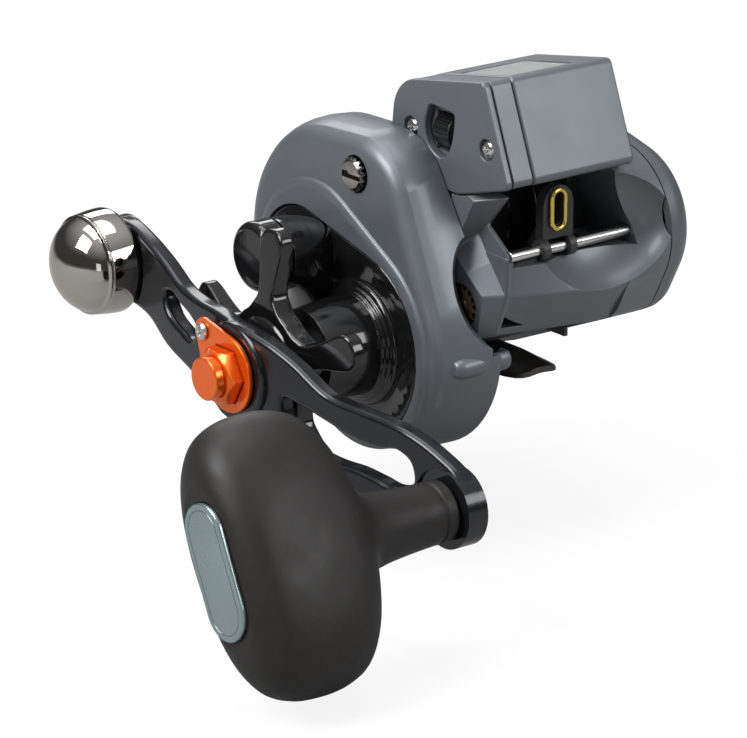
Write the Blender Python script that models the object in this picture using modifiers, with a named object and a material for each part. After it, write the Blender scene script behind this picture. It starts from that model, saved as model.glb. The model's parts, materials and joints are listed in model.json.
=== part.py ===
# Low profile line counter reel, right hand wind, modelled piece by piece.
# Metres, +Z up. +X runs to the palm side, so the handle is at -X, and the line leaves at -Y.
# The origin is the middle of the foot's seat, straight under the spool axis.

from math import atan2, cos, hypot, pi, radians, sin, sqrt

import bmesh
import bpy
from mathutils import Matrix, Vector

OBJECT_NAME = "line_counter_reel"

# Clearances and cutter overrun
GAP = 0.0003
FIT = 0.0001
OVERRUN = 0.003
MERGE = 0.00001

# Facets of round pieces: large, middle and small
FINE = 32
MEDIUM = 20
COARSE = 12
TINY = 8

# Gear train and the two main axes
GEAR_MODULE = 0.00065
BACKLASH = 0.00005
DRIVE_TEETH = 54
PINION_TEETH = 10
DRIVE_CENTRES = GEAR_MODULE * (DRIVE_TEETH + PINION_TEETH) / 2
MAIN_SHAFT_BEARING = radians(235.4)
SPOOL_AXIS_HEIGHT = 0.0234
SPOOL_AXIS = (0.0, SPOOL_AXIS_HEIGHT)
MAIN_AXIS = (
    DRIVE_CENTRES * cos(MAIN_SHAFT_BEARING),
    SPOOL_AXIS_HEIGHT + DRIVE_CENTRES * sin(MAIN_SHAFT_BEARING),
)

# Level wind gear train, from the main shaft through an idler to the worm
WIND_MODULE = 0.0005
WIND_COG_TEETH = 24
WIND_IDLER_TEETH = 19
WIND_WORM_TEETH = 14
WORM_DIRECTION = radians(151.1)
IDLER_CENTRES = WIND_MODULE * (WIND_COG_TEETH + WIND_IDLER_TEETH) / 2
WORM_CENTRES = WIND_MODULE * (WIND_IDLER_TEETH + WIND_WORM_TEETH) / 2
IDLER_AXIS = (
    MAIN_AXIS[0] + IDLER_CENTRES * cos(WORM_DIRECTION),
    MAIN_AXIS[1] + IDLER_CENTRES * sin(WORM_DIRECTION),
)
WORM_AXIS = (
    IDLER_AXIS[0] + WORM_CENTRES * cos(WORM_DIRECTION),
    IDLER_AXIS[1] + WORM_CENTRES * sin(WORM_DIRECTION),
)

# Spool bay between the side walls
BAY_HANDLE_X = -0.012
BAY_PALM_X = 0.013
FRAME_WALL = 0.002
FRAME_HANDLE_X = BAY_HANDLE_X - FRAME_WALL
FRAME_PALM_X = BAY_PALM_X + FRAME_WALL

# Spool
SPOOL_RADIUS = 0.0188
SPOOL_ARBOR_RADIUS = 0.0112
SPOOL_SHAFT_RADIUS = 0.0016
SPOOL_HUB_RADIUS = 0.0042
SPOOL_TIP_CLEARANCE = 0.001
SPOOL_SWEEP = SPOOL_RADIUS + SPOOL_TIP_CLEARANCE

# Main shaft
MAIN_SHAFT_RADIUS = 0.003

# Outer faces along X
COVER_RIM_X = -0.0265
COVER_FACE_X = -0.0283
PALM_SEAM_X = 0.0219
PALM_FACE_X = 0.0297
COVER_WALL = 0.0016

# Handle
ARM_FACE_X = -0.058
ARM_THICKNESS = 0.0038
ARM_SWEEP = radians(6.9)
ARM_ANGLE = radians(12.3)
KNOB_REACH = 0.0574
WEIGHT_REACH = 0.0473
ARM_HUB_RADIUS = 0.0098
KNOB_END_RADIUS = 0.0074
WEIGHT_END_RADIUS = 0.0082

# Counter housing
COUNTER_END_X = -0.016
COUNTER_RIGHT_X = 0.013
COUNTER_END_THICKNESS = 0.0016
COUNTER_BASE_WIDTH = 0.0046
COUNTER_WALL = 0.0016

FRAME_TURN = (pi / 2, 0.0, pi / 2)

STEEL = ("stainless_steel", (0.62, 0.62, 0.63), 0.28, 1.0)
BRASS = ("brass", (0.62, 0.46, 0.20), 0.35, 1.0)
GREY_PAINT = ("grey_paint", (0.17, 0.185, 0.20), 0.42, 0.55)
BLACK_FRAME = ("black_frame", (0.03, 0.03, 0.032), 0.5, 0.2)
GLOSS_BLACK = ("gloss_black", (0.012, 0.012, 0.013), 0.12, 0.2)
ARM_BLACK = ("anodised_black", (0.035, 0.036, 0.04), 0.3, 0.7)
ORANGE = ("orange_anodised", (0.85, 0.16, 0.02), 0.25, 0.9)
DARK_CHROME = ("dark_chrome", (0.42, 0.39, 0.37), 0.08, 1.0)
EVA = ("eva_foam", (0.045, 0.045, 0.045), 0.85, 0.0)
INLAY = ("blue_grey_metal", (0.28, 0.36, 0.39), 0.3, 0.8)
GOLD = ("gold_ceramic", (0.80, 0.62, 0.15), 0.2, 0.9)
DARK_FOOT = ("dark_foot", (0.04, 0.034, 0.03), 0.4, 0.3)
CARBON = ("drag_fibre", (0.05, 0.05, 0.05), 0.7, 0.0)
CLEAR = ("clear_lens", (0.75, 0.8, 0.8), 0.05, 0.0)
DIGIT = ("digit_wheel", (0.85, 0.85, 0.83), 0.4, 0.0)
SPOOL_METAL = ("spool_aluminium", (0.16, 0.16, 0.17), 0.3, 0.9)


def clear_scene():
    """Remove what the start file holds."""
    for item in list(bpy.data.objects):
        bpy.data.objects.remove(item, do_unlink=True)


def make_collection(name):
    """Return a new collection linked to the scene."""
    group = bpy.data.collections.new(name)
    bpy.context.scene.collection.children.link(group)
    return group


clear_scene()
PARTS = make_collection(OBJECT_NAME)
CUTTERS = make_collection("cutters")


def make_material(spec):
    """Return the Principled material of a (name, colour, roughness, metallic) spec."""
    name, colour, roughness, metallic = spec
    found = bpy.data.materials.get(name)
    if found:
        return found
    made = bpy.data.materials.new(name)
    made.use_nodes = True
    shader = made.node_tree.nodes["Principled BSDF"]
    shader.inputs["Base Color"].default_value = (*colour, 1.0)
    shader.inputs["Roughness"].default_value = roughness
    shader.inputs["Metallic"].default_value = metallic
    return made


def settle(item):
    """Turn an object's evaluated shape into a clean mesh whose faces point out."""
    bpy.context.view_layer.update()
    graph = bpy.context.evaluated_depsgraph_get()
    mesh = bpy.data.meshes.new_from_object(item.evaluated_get(graph))
    work = bmesh.new()
    work.from_mesh(mesh)
    bmesh.ops.remove_doubles(work, verts=work.verts, dist=MERGE)
    bmesh.ops.dissolve_degenerate(work, edges=work.edges, dist=MERGE)
    bmesh.ops.recalc_face_normals(work, faces=work.faces)
    work.to_mesh(mesh)
    work.free()
    made = bpy.data.objects.new(item.name, mesh)
    made.matrix_world = item.matrix_world.copy()
    name = item.name
    bpy.data.objects.remove(item, do_unlink=True)
    made.name = name
    PARTS.objects.link(made)
    return made


def place(item, name, spec):
    """Name a finished piece, shade it and give it its material."""
    item.name = name
    item.data.name = name
    item.data.materials.clear()
    item.data.materials.append(make_material(spec))
    item.data.shade_smooth()
    item.data.set_sharp_from_angle(angle=radians(35))
    return item


def as_cutter(item):
    """Move a helper shape to the cutters, where the build leaves it out."""
    for group in list(item.users_collection):
        group.objects.unlink(item)
    CUTTERS.objects.link(item)
    item.hide_render = True
    item.display_type = "WIRE"
    return item


def boolean(item, tool, operation):
    """Add one exact Boolean with a helper shape."""
    as_cutter(tool)
    step = item.modifiers.new(operation.lower(), "BOOLEAN")
    step.operation = operation
    step.solver = "EXACT"
    step.object = tool


def cut(item, *tools):
    """Cut helper shapes out of a piece."""
    for tool in tools:
        boolean(item, tool, "DIFFERENCE")
    return item


def join(item, *tools):
    """Fuse helper shapes to a piece."""
    for tool in tools:
        boolean(item, tool, "UNION")
    return item


def flat(loops, x_from, x_to, centre=(0.0, 0.0), edge=0.0, edge_steps=0):
    """Extrude closed YZ loops along X, with an optional rounded edge, about an axis."""
    curve = bpy.data.curves.new("flat", "CURVE")
    curve.dimensions = "2D"
    curve.fill_mode = "BOTH"
    curve.extrude = abs(x_to - x_from) / 2 - edge
    curve.bevel_depth = edge
    curve.bevel_resolution = edge_steps
    curve.offset = -edge
    for loop in loops:
        spline = curve.splines.new("POLY")
        spline.points.add(len(loop) - 1)
        for point, (y, z) in zip(spline.points, loop):
            point.co = (y, z, 0.0, 1.0)
        spline.use_cyclic_u = True
    item = bpy.data.objects.new("flat", curve)
    bpy.context.scene.collection.objects.link(item)
    item.rotation_euler = FRAME_TURN
    item.location = ((x_from + x_to) / 2, *centre)
    return settle(item)


def turned(profile, centre=(0.0, 0.0), steps=MEDIUM, closed=False):
    """Turn (x, radius) points about an X axis. A closed profile makes a ring."""
    mesh = bpy.data.meshes.new("turned")
    work = bmesh.new()
    points = [work.verts.new((radius, 0.0, x)) for x, radius in profile]
    for first, second in zip(points, points[1:]):
        work.edges.new((first, second))
    if closed:
        work.edges.new((points[-1], points[0]))
    work.to_mesh(mesh)
    work.free()
    item = bpy.data.objects.new("turned", mesh)
    bpy.context.scene.collection.objects.link(item)
    item.rotation_euler = FRAME_TURN
    item.location = (0.0, *centre)
    screw = item.modifiers.new("turn", "SCREW")
    screw.axis = "Z"
    screw.steps = steps
    screw.render_steps = steps
    screw.use_merge_vertices = True
    screw.merge_threshold = MERGE
    return settle(item)


def rod(x_from, x_to, radius, centre=(0.0, 0.0), steps=MEDIUM):
    """A plain round bar along X."""
    return turned([(x_from, 0.0), (x_from, radius), (x_to, radius), (x_to, 0.0)], centre, steps)


def ring(x_from, x_to, outer, inner, centre=(0.0, 0.0), steps=MEDIUM):
    """A plain washer or sleeve along X."""
    profile = [(x_from, inner), (x_from, outer), (x_to, outer), (x_to, inner)]
    return turned(profile, centre, steps, closed=True)


def box(low, high):
    """A box between two corners."""
    bpy.ops.mesh.primitive_cube_add(size=1.0)
    item = bpy.context.active_object
    middle = [(a + b) / 2 for a, b in zip(low, high)]
    size = [b - a for a, b in zip(low, high)]
    item.data.transform(Matrix.Translation(middle) @ Matrix.Diagonal((*size, 1.0)))
    for group in list(item.users_collection):
        group.objects.unlink(item)
    PARTS.objects.link(item)
    return item


def ellipsoid(centre, radii, segments=MEDIUM):
    """A smooth ball stretched to three radii."""
    mesh = bpy.data.meshes.new("ellipsoid")
    work = bmesh.new()
    bmesh.ops.create_uvsphere(work, u_segments=segments, v_segments=segments // 2, radius=1.0)
    work.transform(Matrix.Translation(centre) @ Matrix.Diagonal((*radii, 1.0)))
    work.to_mesh(mesh)
    work.free()
    item = bpy.data.objects.new("ellipsoid", mesh)
    PARTS.objects.link(item)
    return item


def loft(rings):
    """Skin closed rings of equal count, in order, and cap both ends."""
    mesh = bpy.data.meshes.new("loft")
    work = bmesh.new()
    rows = [[work.verts.new(point) for point in points] for points in rings]
    count = len(rows[0])
    for lower, upper in zip(rows, rows[1:]):
        for index in range(count):
            after = (index + 1) % count
            work.faces.new((lower[index], lower[after], upper[after], upper[index]))
    work.faces.new(rows[0])
    work.faces.new(rows[-1])
    bmesh.ops.recalc_face_normals(work, faces=work.faces)
    work.to_mesh(mesh)
    work.free()
    item = bpy.data.objects.new("loft", mesh)
    PARTS.objects.link(item)
    return item


def reorigin(item, point):
    """Put a piece's origin on its joint axis and leave its shape where it is."""
    shift = Vector(point)
    item.data.transform(Matrix.Translation(-shift) @ item.matrix_world)
    item.matrix_world = Matrix.Translation(shift)
    return item


def circle(radius, centre=(0.0, 0.0), count=MEDIUM, start=0.0):
    """Points of a circle in the YZ plane."""
    return [
        (
            centre[0] + radius * cos(start + 2 * pi * index / count),
            centre[1] + radius * sin(start + 2 * pi * index / count),
        )
        for index in range(count)
    ]


def belt(circles, steps=6, inset=0.0):
    """Outline of a belt drawn round circles (y, z, radius), given in turning order."""
    outline = []
    total = len(circles)
    for index, (y, z, radius) in enumerate(circles):
        before = circles[index - 1]
        after = circles[(index + 1) % total]
        start = tangent_angle(before, (y, z, radius))
        end = tangent_angle((y, z, radius), after)
        while end < start:
            end += 2 * pi
        for step in range(steps + 1):
            angle = start + (end - start) * step / steps
            reach = radius - inset
            outline.append((y + reach * cos(angle), z + reach * sin(angle)))
    return outline


def tangent_angle(first, second):
    """Angle of the outer normal where a belt leaves one circle for the next."""
    dy = second[0] - first[0]
    dz = second[1] - first[1]
    span = hypot(dy, dz)
    lean = (first[2] - second[2]) / span
    return atan2(dz, dy) - pi / 2 + atan2(lean, sqrt(1 - lean * lean))


def capsule(length, width, centre, angle, steps=8):
    """Outline of a round ended slot, its long side at an angle in the YZ plane."""
    half = (length - width) / 2
    along = (cos(angle), sin(angle))
    ends = [
        (centre[0] - half * along[0], centre[1] - half * along[1], width / 2),
        (centre[0] + half * along[0], centre[1] + half * along[1], width / 2),
    ]
    return belt(ends, steps)


def ring_at(outline, x):
    """Lift a YZ outline to a ring of points at x."""
    return [(x, y, z) for y, z in outline]


def gear_outline(teeth, module, phase=0.0, backlash=BACKLASH):
    """Outline of a spur gear with straight flanked teeth about its own centre."""
    pitch = module * teeth / 2
    tip = pitch + 0.85 * module
    root = pitch - 1.15 * module
    half_pitch_angle = pi / (2 * teeth) - backlash / pitch
    half_tip_angle = half_pitch_angle * 0.42
    half_root_angle = half_pitch_angle * 1.42
    outline = []
    for tooth in range(teeth):
        middle = phase + 2 * pi * tooth / teeth
        for radius, offset in (
            (root, -half_root_angle),
            (tip, -half_tip_angle),
            (tip, half_tip_angle),
            (root, half_root_angle),
        ):
            outline.append((radius * cos(middle + offset), radius * sin(middle + offset)))
    return outline


def mesh_phase(teeth, direction, partner_teeth, partner_phase):
    """Phase that sets a gear's tooth space on its partner's tooth along the centre line."""
    partner_share = (direction - partner_phase) / (2 * pi / partner_teeth)
    offset = partner_share - round(partner_share)
    back = direction + pi
    return back + (offset + 0.5) * 2 * pi / teeth


# Side outlines, as circles (y, z, radius) with a belt round them, in turning order
REAR_LOBE = (0.0035, 0.0200, 0.0252)
TOP_LOBE = (-0.0125, 0.0320, 0.0128)
MAIN_LOBE = (*MAIN_AXIS, 0.0228)
RIM_REAR_LOBE = (0.0015, 0.0207, 0.0268)
RIM_TOP_LOBE = (-0.0120, 0.0332, 0.0160)
FACE_LOBE = (0.0060, 0.0170, 0.0207)

NOSE_TOP_LOBE = (-0.0295, 0.0255, 0.0155)
NOSE_LOW_LOBE = (-0.0335, 0.0170, 0.0085)
PALM_TOP_LOBE = (-0.0140, 0.0275, 0.0180)
PALM_REAR_LOBE = (0.0030, 0.0200, 0.0255)


def grown(lobe, amount):
    """A lobe with its radius changed."""
    return (lobe[0], lobe[1], lobe[2] + amount)


def handle_side_circles(bottom, top, rear):
    """Lobes of the handle side body, in turning order."""
    return [grown(MAIN_LOBE, bottom), grown(RIM_REAR_LOBE, rear), grown(RIM_TOP_LOBE, top)]


def palm_circles(amount=0.0):
    """Lobes of the palm side body, in turning order."""
    return [
        grown(NOSE_LOW_LOBE, amount),
        grown(PALM_REAR_LOBE, amount),
        grown(PALM_TOP_LOBE, amount),
        grown(NOSE_TOP_LOBE, amount),
    ]


# Counter housing outline in the YZ plane
COUNTER_TOP_FRONT = (-0.0352, 0.0604)
COUNTER_LOW_FRONT = (-0.0418, 0.0409)
COUNTER_TOP_REAR = (-0.0150, 0.0570)
COUNTER_REAR_RADIUS = 0.0078
COUNTER_LOW_RADIUS = 0.0052
COUNTER_EDGE_RADIUS = 0.0010
COUNTER_REAR_CENTRE = (COUNTER_TOP_REAR[0], COUNTER_TOP_REAR[1] - COUNTER_REAR_RADIUS)
COUNTER_LOW_CENTRE = (-0.0118, 0.0434)
COUNTER_BELLY_CENTRE = (-0.0260, 0.0460)
COUNTER_BELLY_RADIUS = 0.0088


def counter_outline(inset=0.0, steps=4):
    """Rounded wedge of the counter, its top sloping up to the front."""
    edge = max(COUNTER_EDGE_RADIUS - inset, GAP)
    depth = edge + inset
    lobes = [
        (COUNTER_LOW_FRONT[0] + depth, COUNTER_LOW_FRONT[1] + depth, edge),
        (*COUNTER_BELLY_CENTRE, COUNTER_BELLY_RADIUS - inset),
        (*COUNTER_LOW_CENTRE, COUNTER_LOW_RADIUS - inset),
        (*COUNTER_REAR_CENTRE, COUNTER_REAR_RADIUS - inset),
        (COUNTER_TOP_FRONT[0] + depth, COUNTER_TOP_FRONT[1] - depth, edge),
    ]
    return belt(lobes, steps)


# Guide rod, carriage and eyelet
ROD_AXIS = (-0.0373, 0.0264)
ROD_RADIUS = 0.0011
ROD_HANDLE_END_X = -0.0148
ROD_PALM_END_X = 0.0206
CARRIAGE_HALF_WIDTH = 0.0037
COLLAR_WIDTH = 0.0016
COLLAR_RADIUS = 0.0021
SLEEVE_RADIUS = 0.0036
EYELET_HEIGHT = 0.0342
EYELET_LENGTH = 0.0085
EYELET_WIDTH = 0.0041
EYELET_WIRE = 0.00055
WORM_RADIUS = 0.0020
WORM_JOURNAL = 0.0012
PAWL_RADIUS = 0.0011
CARRIAGE_COVER = 0.0006
CARRIAGE_FRONT_Y = ROD_AXIS[0] - CARRIAGE_COVER
CARRIAGE_PLATE = 0.0022
CARRIAGE_TOP = 0.0388


def seat_for_counter(item):
    """Cut the counter's underside out of a piece that the counter rests in."""
    outline = counter_outline(-GAP)
    tool = flat([outline], COUNTER_END_X - GAP, COUNTER_RIGHT_X + GAP)
    return cut(item, tool)


# The frame: one casting that carries both side walls
BRIDGE_LOW = 0.0024
BRIDGE_HIGH = 0.0110
BRIDGE_FRONT = -0.0247
BRIDGE_REAR = 0.0215
FRAME_FRONT = -0.0250
PALM_RING_BORE = SPOOL_RADIUS + 2 * GAP
PINION_BEARING_RADIUS = 0.0048
MAIN_JOURNAL_RADIUS = 0.0024
IDLER_STUD_RADIUS = 0.0015
WALL_INSET = 0.0012
WALL_LOBES = (grown(MAIN_LOBE, -WALL_INSET), REAR_LOBE, TOP_LOBE)
FOOT_SCREW_YS = (-0.0125, 0.0125)
FOOT_SCREW_RADIUS = 0.0012
FOOT_SCREW_HEAD = 0.0022
FOOT_SCREW_HEAD_DEPTH = 0.0012
IDLER_STUD_X = -0.0168
YOKE_PIN_Y = 0.0095
YOKE_PIN_ZS = (0.0205, 0.0263)
YOKE_PIN_RADIUS = 0.0008
YOKE_PIN_X = -0.0190


def round_upright(x, y, z_from, z_to, radius, steps=COARSE):
    """A plain round bar along Z."""
    item = rod(z_from, z_to, radius, (0.0, 0.0), steps)
    turn = Matrix.Rotation(-pi / 2, 4, "Y")
    item.data.transform(Matrix.Translation((x, y, 0.0)) @ turn @ item.matrix_world)
    item.matrix_world = Matrix.Identity(4)
    return item


def make_main_frame():
    """Handle side wall, palm side ring, the cradle between them and the idler's stud."""
    frame = flat([belt(WALL_LOBES)], FRAME_HANDLE_X, BAY_HANDLE_X)
    palm = flat([belt(palm_circles(-COVER_WALL))], BAY_PALM_X, FRAME_PALM_X)
    cradle = box((BAY_HANDLE_X - FRAME_WALL / 2, BRIDGE_FRONT, BRIDGE_LOW),
                 (BAY_PALM_X + FRAME_WALL / 2, BRIDGE_REAR, BRIDGE_HIGH))
    cradle_x = BAY_HANDLE_X - FRAME_WALL
    cut(cradle, rod(cradle_x, FRAME_PALM_X, SPOOL_SWEEP, SPOOL_AXIS, FINE))
    stud = rod(IDLER_STUD_X, FRAME_HANDLE_X + FRAME_WALL / 2, IDLER_STUD_RADIUS, IDLER_AXIS, TINY)
    join(frame, palm, cradle, stud)
    for z in YOKE_PIN_ZS:
        pin = rod(YOKE_PIN_X, FRAME_HANDLE_X + FRAME_WALL / 2, YOKE_PIN_RADIUS, (YOKE_PIN_Y, z), TINY)
        join(frame, pin)
    reach = OVERRUN
    front = box((BAY_HANDLE_X - 2 * FRAME_WALL, 3 * FRAME_FRONT, -SPOOL_AXIS_HEIGHT),
                (FRAME_PALM_X + reach, FRAME_FRONT, 3 * SPOOL_AXIS_HEIGHT))
    cut(frame, front)
    cut(frame, rod(BAY_PALM_X - reach, FRAME_PALM_X + reach, PALM_RING_BORE, SPOOL_AXIS, FINE))
    bearing = PINION_BEARING_RADIUS + FIT
    cut(frame, rod(FRAME_HANDLE_X - reach, BAY_HANDLE_X + reach, bearing, SPOOL_AXIS))
    journal = MAIN_JOURNAL_RADIUS + FIT
    cut(frame, rod(FRAME_HANDLE_X - reach, BAY_HANDLE_X + reach, journal, MAIN_AXIS))
    for y in FOOT_SCREW_YS:
        shank = FOOT_SCREW_RADIUS + FIT
        cut(frame, round_upright(0.0, y, -reach, BRIDGE_HIGH, shank))
        head = FOOT_SCREW_HEAD + FIT
        seat = foot_screw_seat(y)
        cut(frame, round_upright(0.0, y, seat, BRIDGE_HIGH, head))
    seat_for_counter(frame)
    place(settle(frame), "main_frame", BLACK_FRAME)


def foot_screw_seat(y):
    """Height of the seat that a foot screw's head is sunk to in the cradle."""
    floor = SPOOL_AXIS_HEIGHT - sqrt(SPOOL_SWEEP ** 2 - (abs(y) - FOOT_SCREW_HEAD) ** 2)
    return floor - FOOT_SCREW_HEAD_DEPTH - GAP


# Foot
FOOT_FRONT = -0.0335
FOOT_REAR = 0.0315
FOOT_HALF_WIDTH = 0.0063
FOOT_TOP = BRIDGE_LOW - GAP
FOOT_TIP_THICKNESS = 0.0012
FOOT_TROUGH = 0.0011
FOOT_CROWN_HALF = 0.0016
FOOT_TAPER = 0.0130
FOOT_WIDTH_SHARES = ((0.0, 0.62), (0.05, 0.86), (0.16, 1.0), (0.84, 1.0), (0.95, 0.84), (1.0, 0.58))


def make_reel_foot():
    """Foot with a shallow trough that sits on the rod, thinned towards both ends."""
    rings = []
    length = FOOT_REAR - FOOT_FRONT
    for share, width_share in FOOT_WIDTH_SHARES:
        y = FOOT_FRONT + share * length
        half = FOOT_HALF_WIDTH * width_share
        inward = min(y - FOOT_FRONT, FOOT_REAR - y)
        rise = min(1.0, inward / FOOT_TAPER)
        crown = FOOT_TIP_THICKNESS + (FOOT_TOP - FOOT_TIP_THICKNESS) * rise
        drop = FOOT_TROUGH * width_share * width_share
        rings.append([
            (-FOOT_CROWN_HALF * width_share, y, 0.0),
            (FOOT_CROWN_HALF * width_share, y, 0.0),
            (half * 0.7, y, -drop * 0.45),
            (half, y, -drop),
            (half, y, -drop + FOOT_TIP_THICKNESS),
            (half * 0.6, y, crown - drop * 0.35),
            (half * 0.35, y, crown),
            (-half * 0.35, y, crown),
            (-half * 0.6, y, crown - drop * 0.35),
            (-half, y, -drop + FOOT_TIP_THICKNESS),
            (-half, y, -drop),
            (-half * 0.7, y, -drop * 0.45),
        ])
    foot = loft(rings)
    for y in FOOT_SCREW_YS:
        cut(foot, round_upright(0.0, y, -OVERRUN, OVERRUN, FOOT_SCREW_RADIUS + FIT))
    place(settle(foot), "reel_foot", DARK_FOOT)


def make_foot_screws():
    """Two screws that pull the foot up against the cradle, heads sunk under the spool."""
    for name, y in zip(("foot_screw_front", "foot_screw_rear"), FOOT_SCREW_YS):
        seat = foot_screw_seat(y) + GAP
        head_top = seat + FOOT_SCREW_HEAD_DEPTH - GAP
        slot = FOOT_SCREW_HEAD_DEPTH / 2
        screw = turned([(GAP, 0.0), (GAP, FOOT_SCREW_RADIUS), (seat, FOOT_SCREW_RADIUS),
                        (seat, FOOT_SCREW_HEAD), (head_top, FOOT_SCREW_HEAD), (head_top, 0.0)],
                       steps=COARSE)
        turn = Matrix.Translation((0.0, y, 0.0)) @ Matrix.Rotation(-pi / 2, 4, "Y")
        screw.data.transform(turn @ screw.matrix_world)
        screw.matrix_world = Matrix.Identity(4)
        groove = box((-FOOT_SCREW_HEAD - OVERRUN, y - slot / 2, head_top - slot),
                     (FOOT_SCREW_HEAD + OVERRUN, y + slot / 2, head_top + OVERRUN))
        cut(screw, groove)
        place(settle(screw), name, STEEL)


# Handle side cover: a rounded shell over the gears
COVER_INNER_X = FRAME_HANDLE_X - GAP
COVER_GIRTH_X = -0.0225
COVER_SHELL_ROWS = (
    (-0.0143, 0.0018, -0.0035, -0.0023),
    (-0.0190, 0.0014, -0.0012, -0.0003),
    (-0.0235, 0.0008, 0.0002, 0.0006),
    (-0.0263, 0.0, -0.0006, -0.0002),
    (-0.0273, -0.0014, -0.0022, -0.0020),
)
RAISED_DEPTH = COVER_RIM_X - COVER_FACE_X
RAISED_SHOULDER_SHARE = 0.4
RAISED_SHOULDER_INSET = 0.0006
RAISED_FACE_INSET = 0.0022
HOLLOW_TOP_TUCK = 0.0026
HOLLOW_REAR_TUCK = 0.0014
HOLLOW_BACK_TUCK = 0.0012
THUMBSCREW_AXIS = (-0.0106, 0.0395)
THUMBSCREW_RADIUS = 0.0034
THUMBSCREW_FACE_X = -0.0288
THUMBSCREW_SEAT_X = -0.0243
THUMBSCREW_STEM = 0.0013
FRONT_BOSS_AXIS = (-0.0342, 0.0060)
FRONT_BOSS_RADIUS = 0.0023
FRONT_BOSS_TIP_X = -0.0250
FRONT_BOSS_END_X = -0.0112
SCALLOP_CENTRE = (COVER_INNER_X, -0.0410, 0.0220)
SCALLOP_RADII = (0.0085, 0.0145, 0.0130)
INSERT_MAIN_RADIUS = 0.0183
INSERT_LOBE = (0.0062, 0.0168, 0.0124)
INSERT_RIM_X = -0.0281
INSERT_BACK_X = -0.0268
MAIN_PASSAGE = 0.0118
SPOOL_PASSAGE = 0.0046
HOOD_BLOCK_X = -0.0158
HOOD_REAR = -0.0253


def cover_ring(x, bottom, top, rear, inset=0.0):
    """One section of the handle side cover."""
    return ring_at(belt(handle_side_circles(bottom, top, rear), 8, inset), x)


def insert_circles(amount=0.0):
    """Lobes of the black bezel insert."""
    return [(*MAIN_AXIS, INSERT_MAIN_RADIUS + amount), grown(INSERT_LOBE, amount)]


def make_handle_side_cover():
    """Cover with a raised two lobed face, a scalloped front and the gears' hollow."""
    cover = loft([cover_ring(*row) for row in COVER_SHELL_ROWS])
    face = [MAIN_LOBE, FACE_LOBE]
    raised = loft([
        ring_at(belt(face), COVER_RIM_X + RAISED_DEPTH),
        ring_at(belt(face, inset=RAISED_SHOULDER_INSET), COVER_RIM_X - RAISED_DEPTH * RAISED_SHOULDER_SHARE),
        ring_at(belt(face, inset=RAISED_FACE_INSET), COVER_FACE_X),
    ])
    boss = turned([(FRONT_BOSS_TIP_X, 0.0),
                   (FRONT_BOSS_TIP_X + FRONT_BOSS_RADIUS, FRONT_BOSS_RADIUS * 0.75),
                   (FRONT_BOSS_TIP_X + 2 * FRONT_BOSS_RADIUS, FRONT_BOSS_RADIUS),
                   (FRONT_BOSS_END_X - GAP, FRONT_BOSS_RADIUS),
                   (FRONT_BOSS_END_X, FRONT_BOSS_RADIUS - GAP),
                   (FRONT_BOSS_END_X, 0.0)], FRONT_BOSS_AXIS, COARSE)
    join(cover, raised, boss)
    wall = COVER_WALL
    hollow_back = COVER_RIM_X + wall
    tucked = -wall - HOLLOW_BACK_TUCK
    seam = handle_side_circles(-wall, -wall - HOLLOW_TOP_TUCK, -wall - HOLLOW_REAR_TUCK)
    hollow = loft([
        ring_at(belt(seam), COVER_INNER_X + OVERRUN),
        ring_at(belt(handle_side_circles(-wall, -wall, -wall)), COVER_GIRTH_X),
        ring_at(belt(handle_side_circles(tucked, tucked, tucked)), hollow_back),
    ])
    socket_radius = THUMBSCREW_RADIUS + GAP
    pad = rod(COVER_RIM_X, THUMBSCREW_SEAT_X + wall, socket_radius + wall, THUMBSCREW_AXIS)
    scallop_wall = ellipsoid(SCALLOP_CENTRE, [r + wall for r in SCALLOP_RADII])
    cut(hollow, scallop_wall, pad)
    cut(cover, settle(hollow))
    cut(cover, ellipsoid(SCALLOP_CENTRE, SCALLOP_RADII))
    cut(cover, flat([belt(insert_circles(GAP))], INSERT_BACK_X + GAP, COVER_FACE_X - OVERRUN))
    cut(cover, rod(hollow_back + OVERRUN, COVER_FACE_X - OVERRUN, MAIN_PASSAGE, MAIN_AXIS, FINE))
    cut(cover, rod(hollow_back + OVERRUN, COVER_FACE_X - OVERRUN, SPOOL_PASSAGE, SPOOL_AXIS))
    cut(cover, rod(THUMBSCREW_SEAT_X, COVER_FACE_X - OVERRUN, socket_radius, THUMBSCREW_AXIS, COARSE))
    stem = THUMBSCREW_STEM + FIT
    cut(cover, rod(COVER_INNER_X + OVERRUN, COVER_FACE_X, stem, THUMBSCREW_AXIS, COARSE))
    notch = HOOD_BLOCK_X - GAP
    cut(cover, box((notch, 3 * HOOD_REAR, SPOOL_AXIS_HEIGHT / 3),
                   (0.0, HOOD_REAR + 3 * GAP, 3 * SPOOL_AXIS_HEIGHT)))
    seat_for_counter(cover)
    place(settle(cover), "handle_side_cover", GREY_PAINT)


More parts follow.
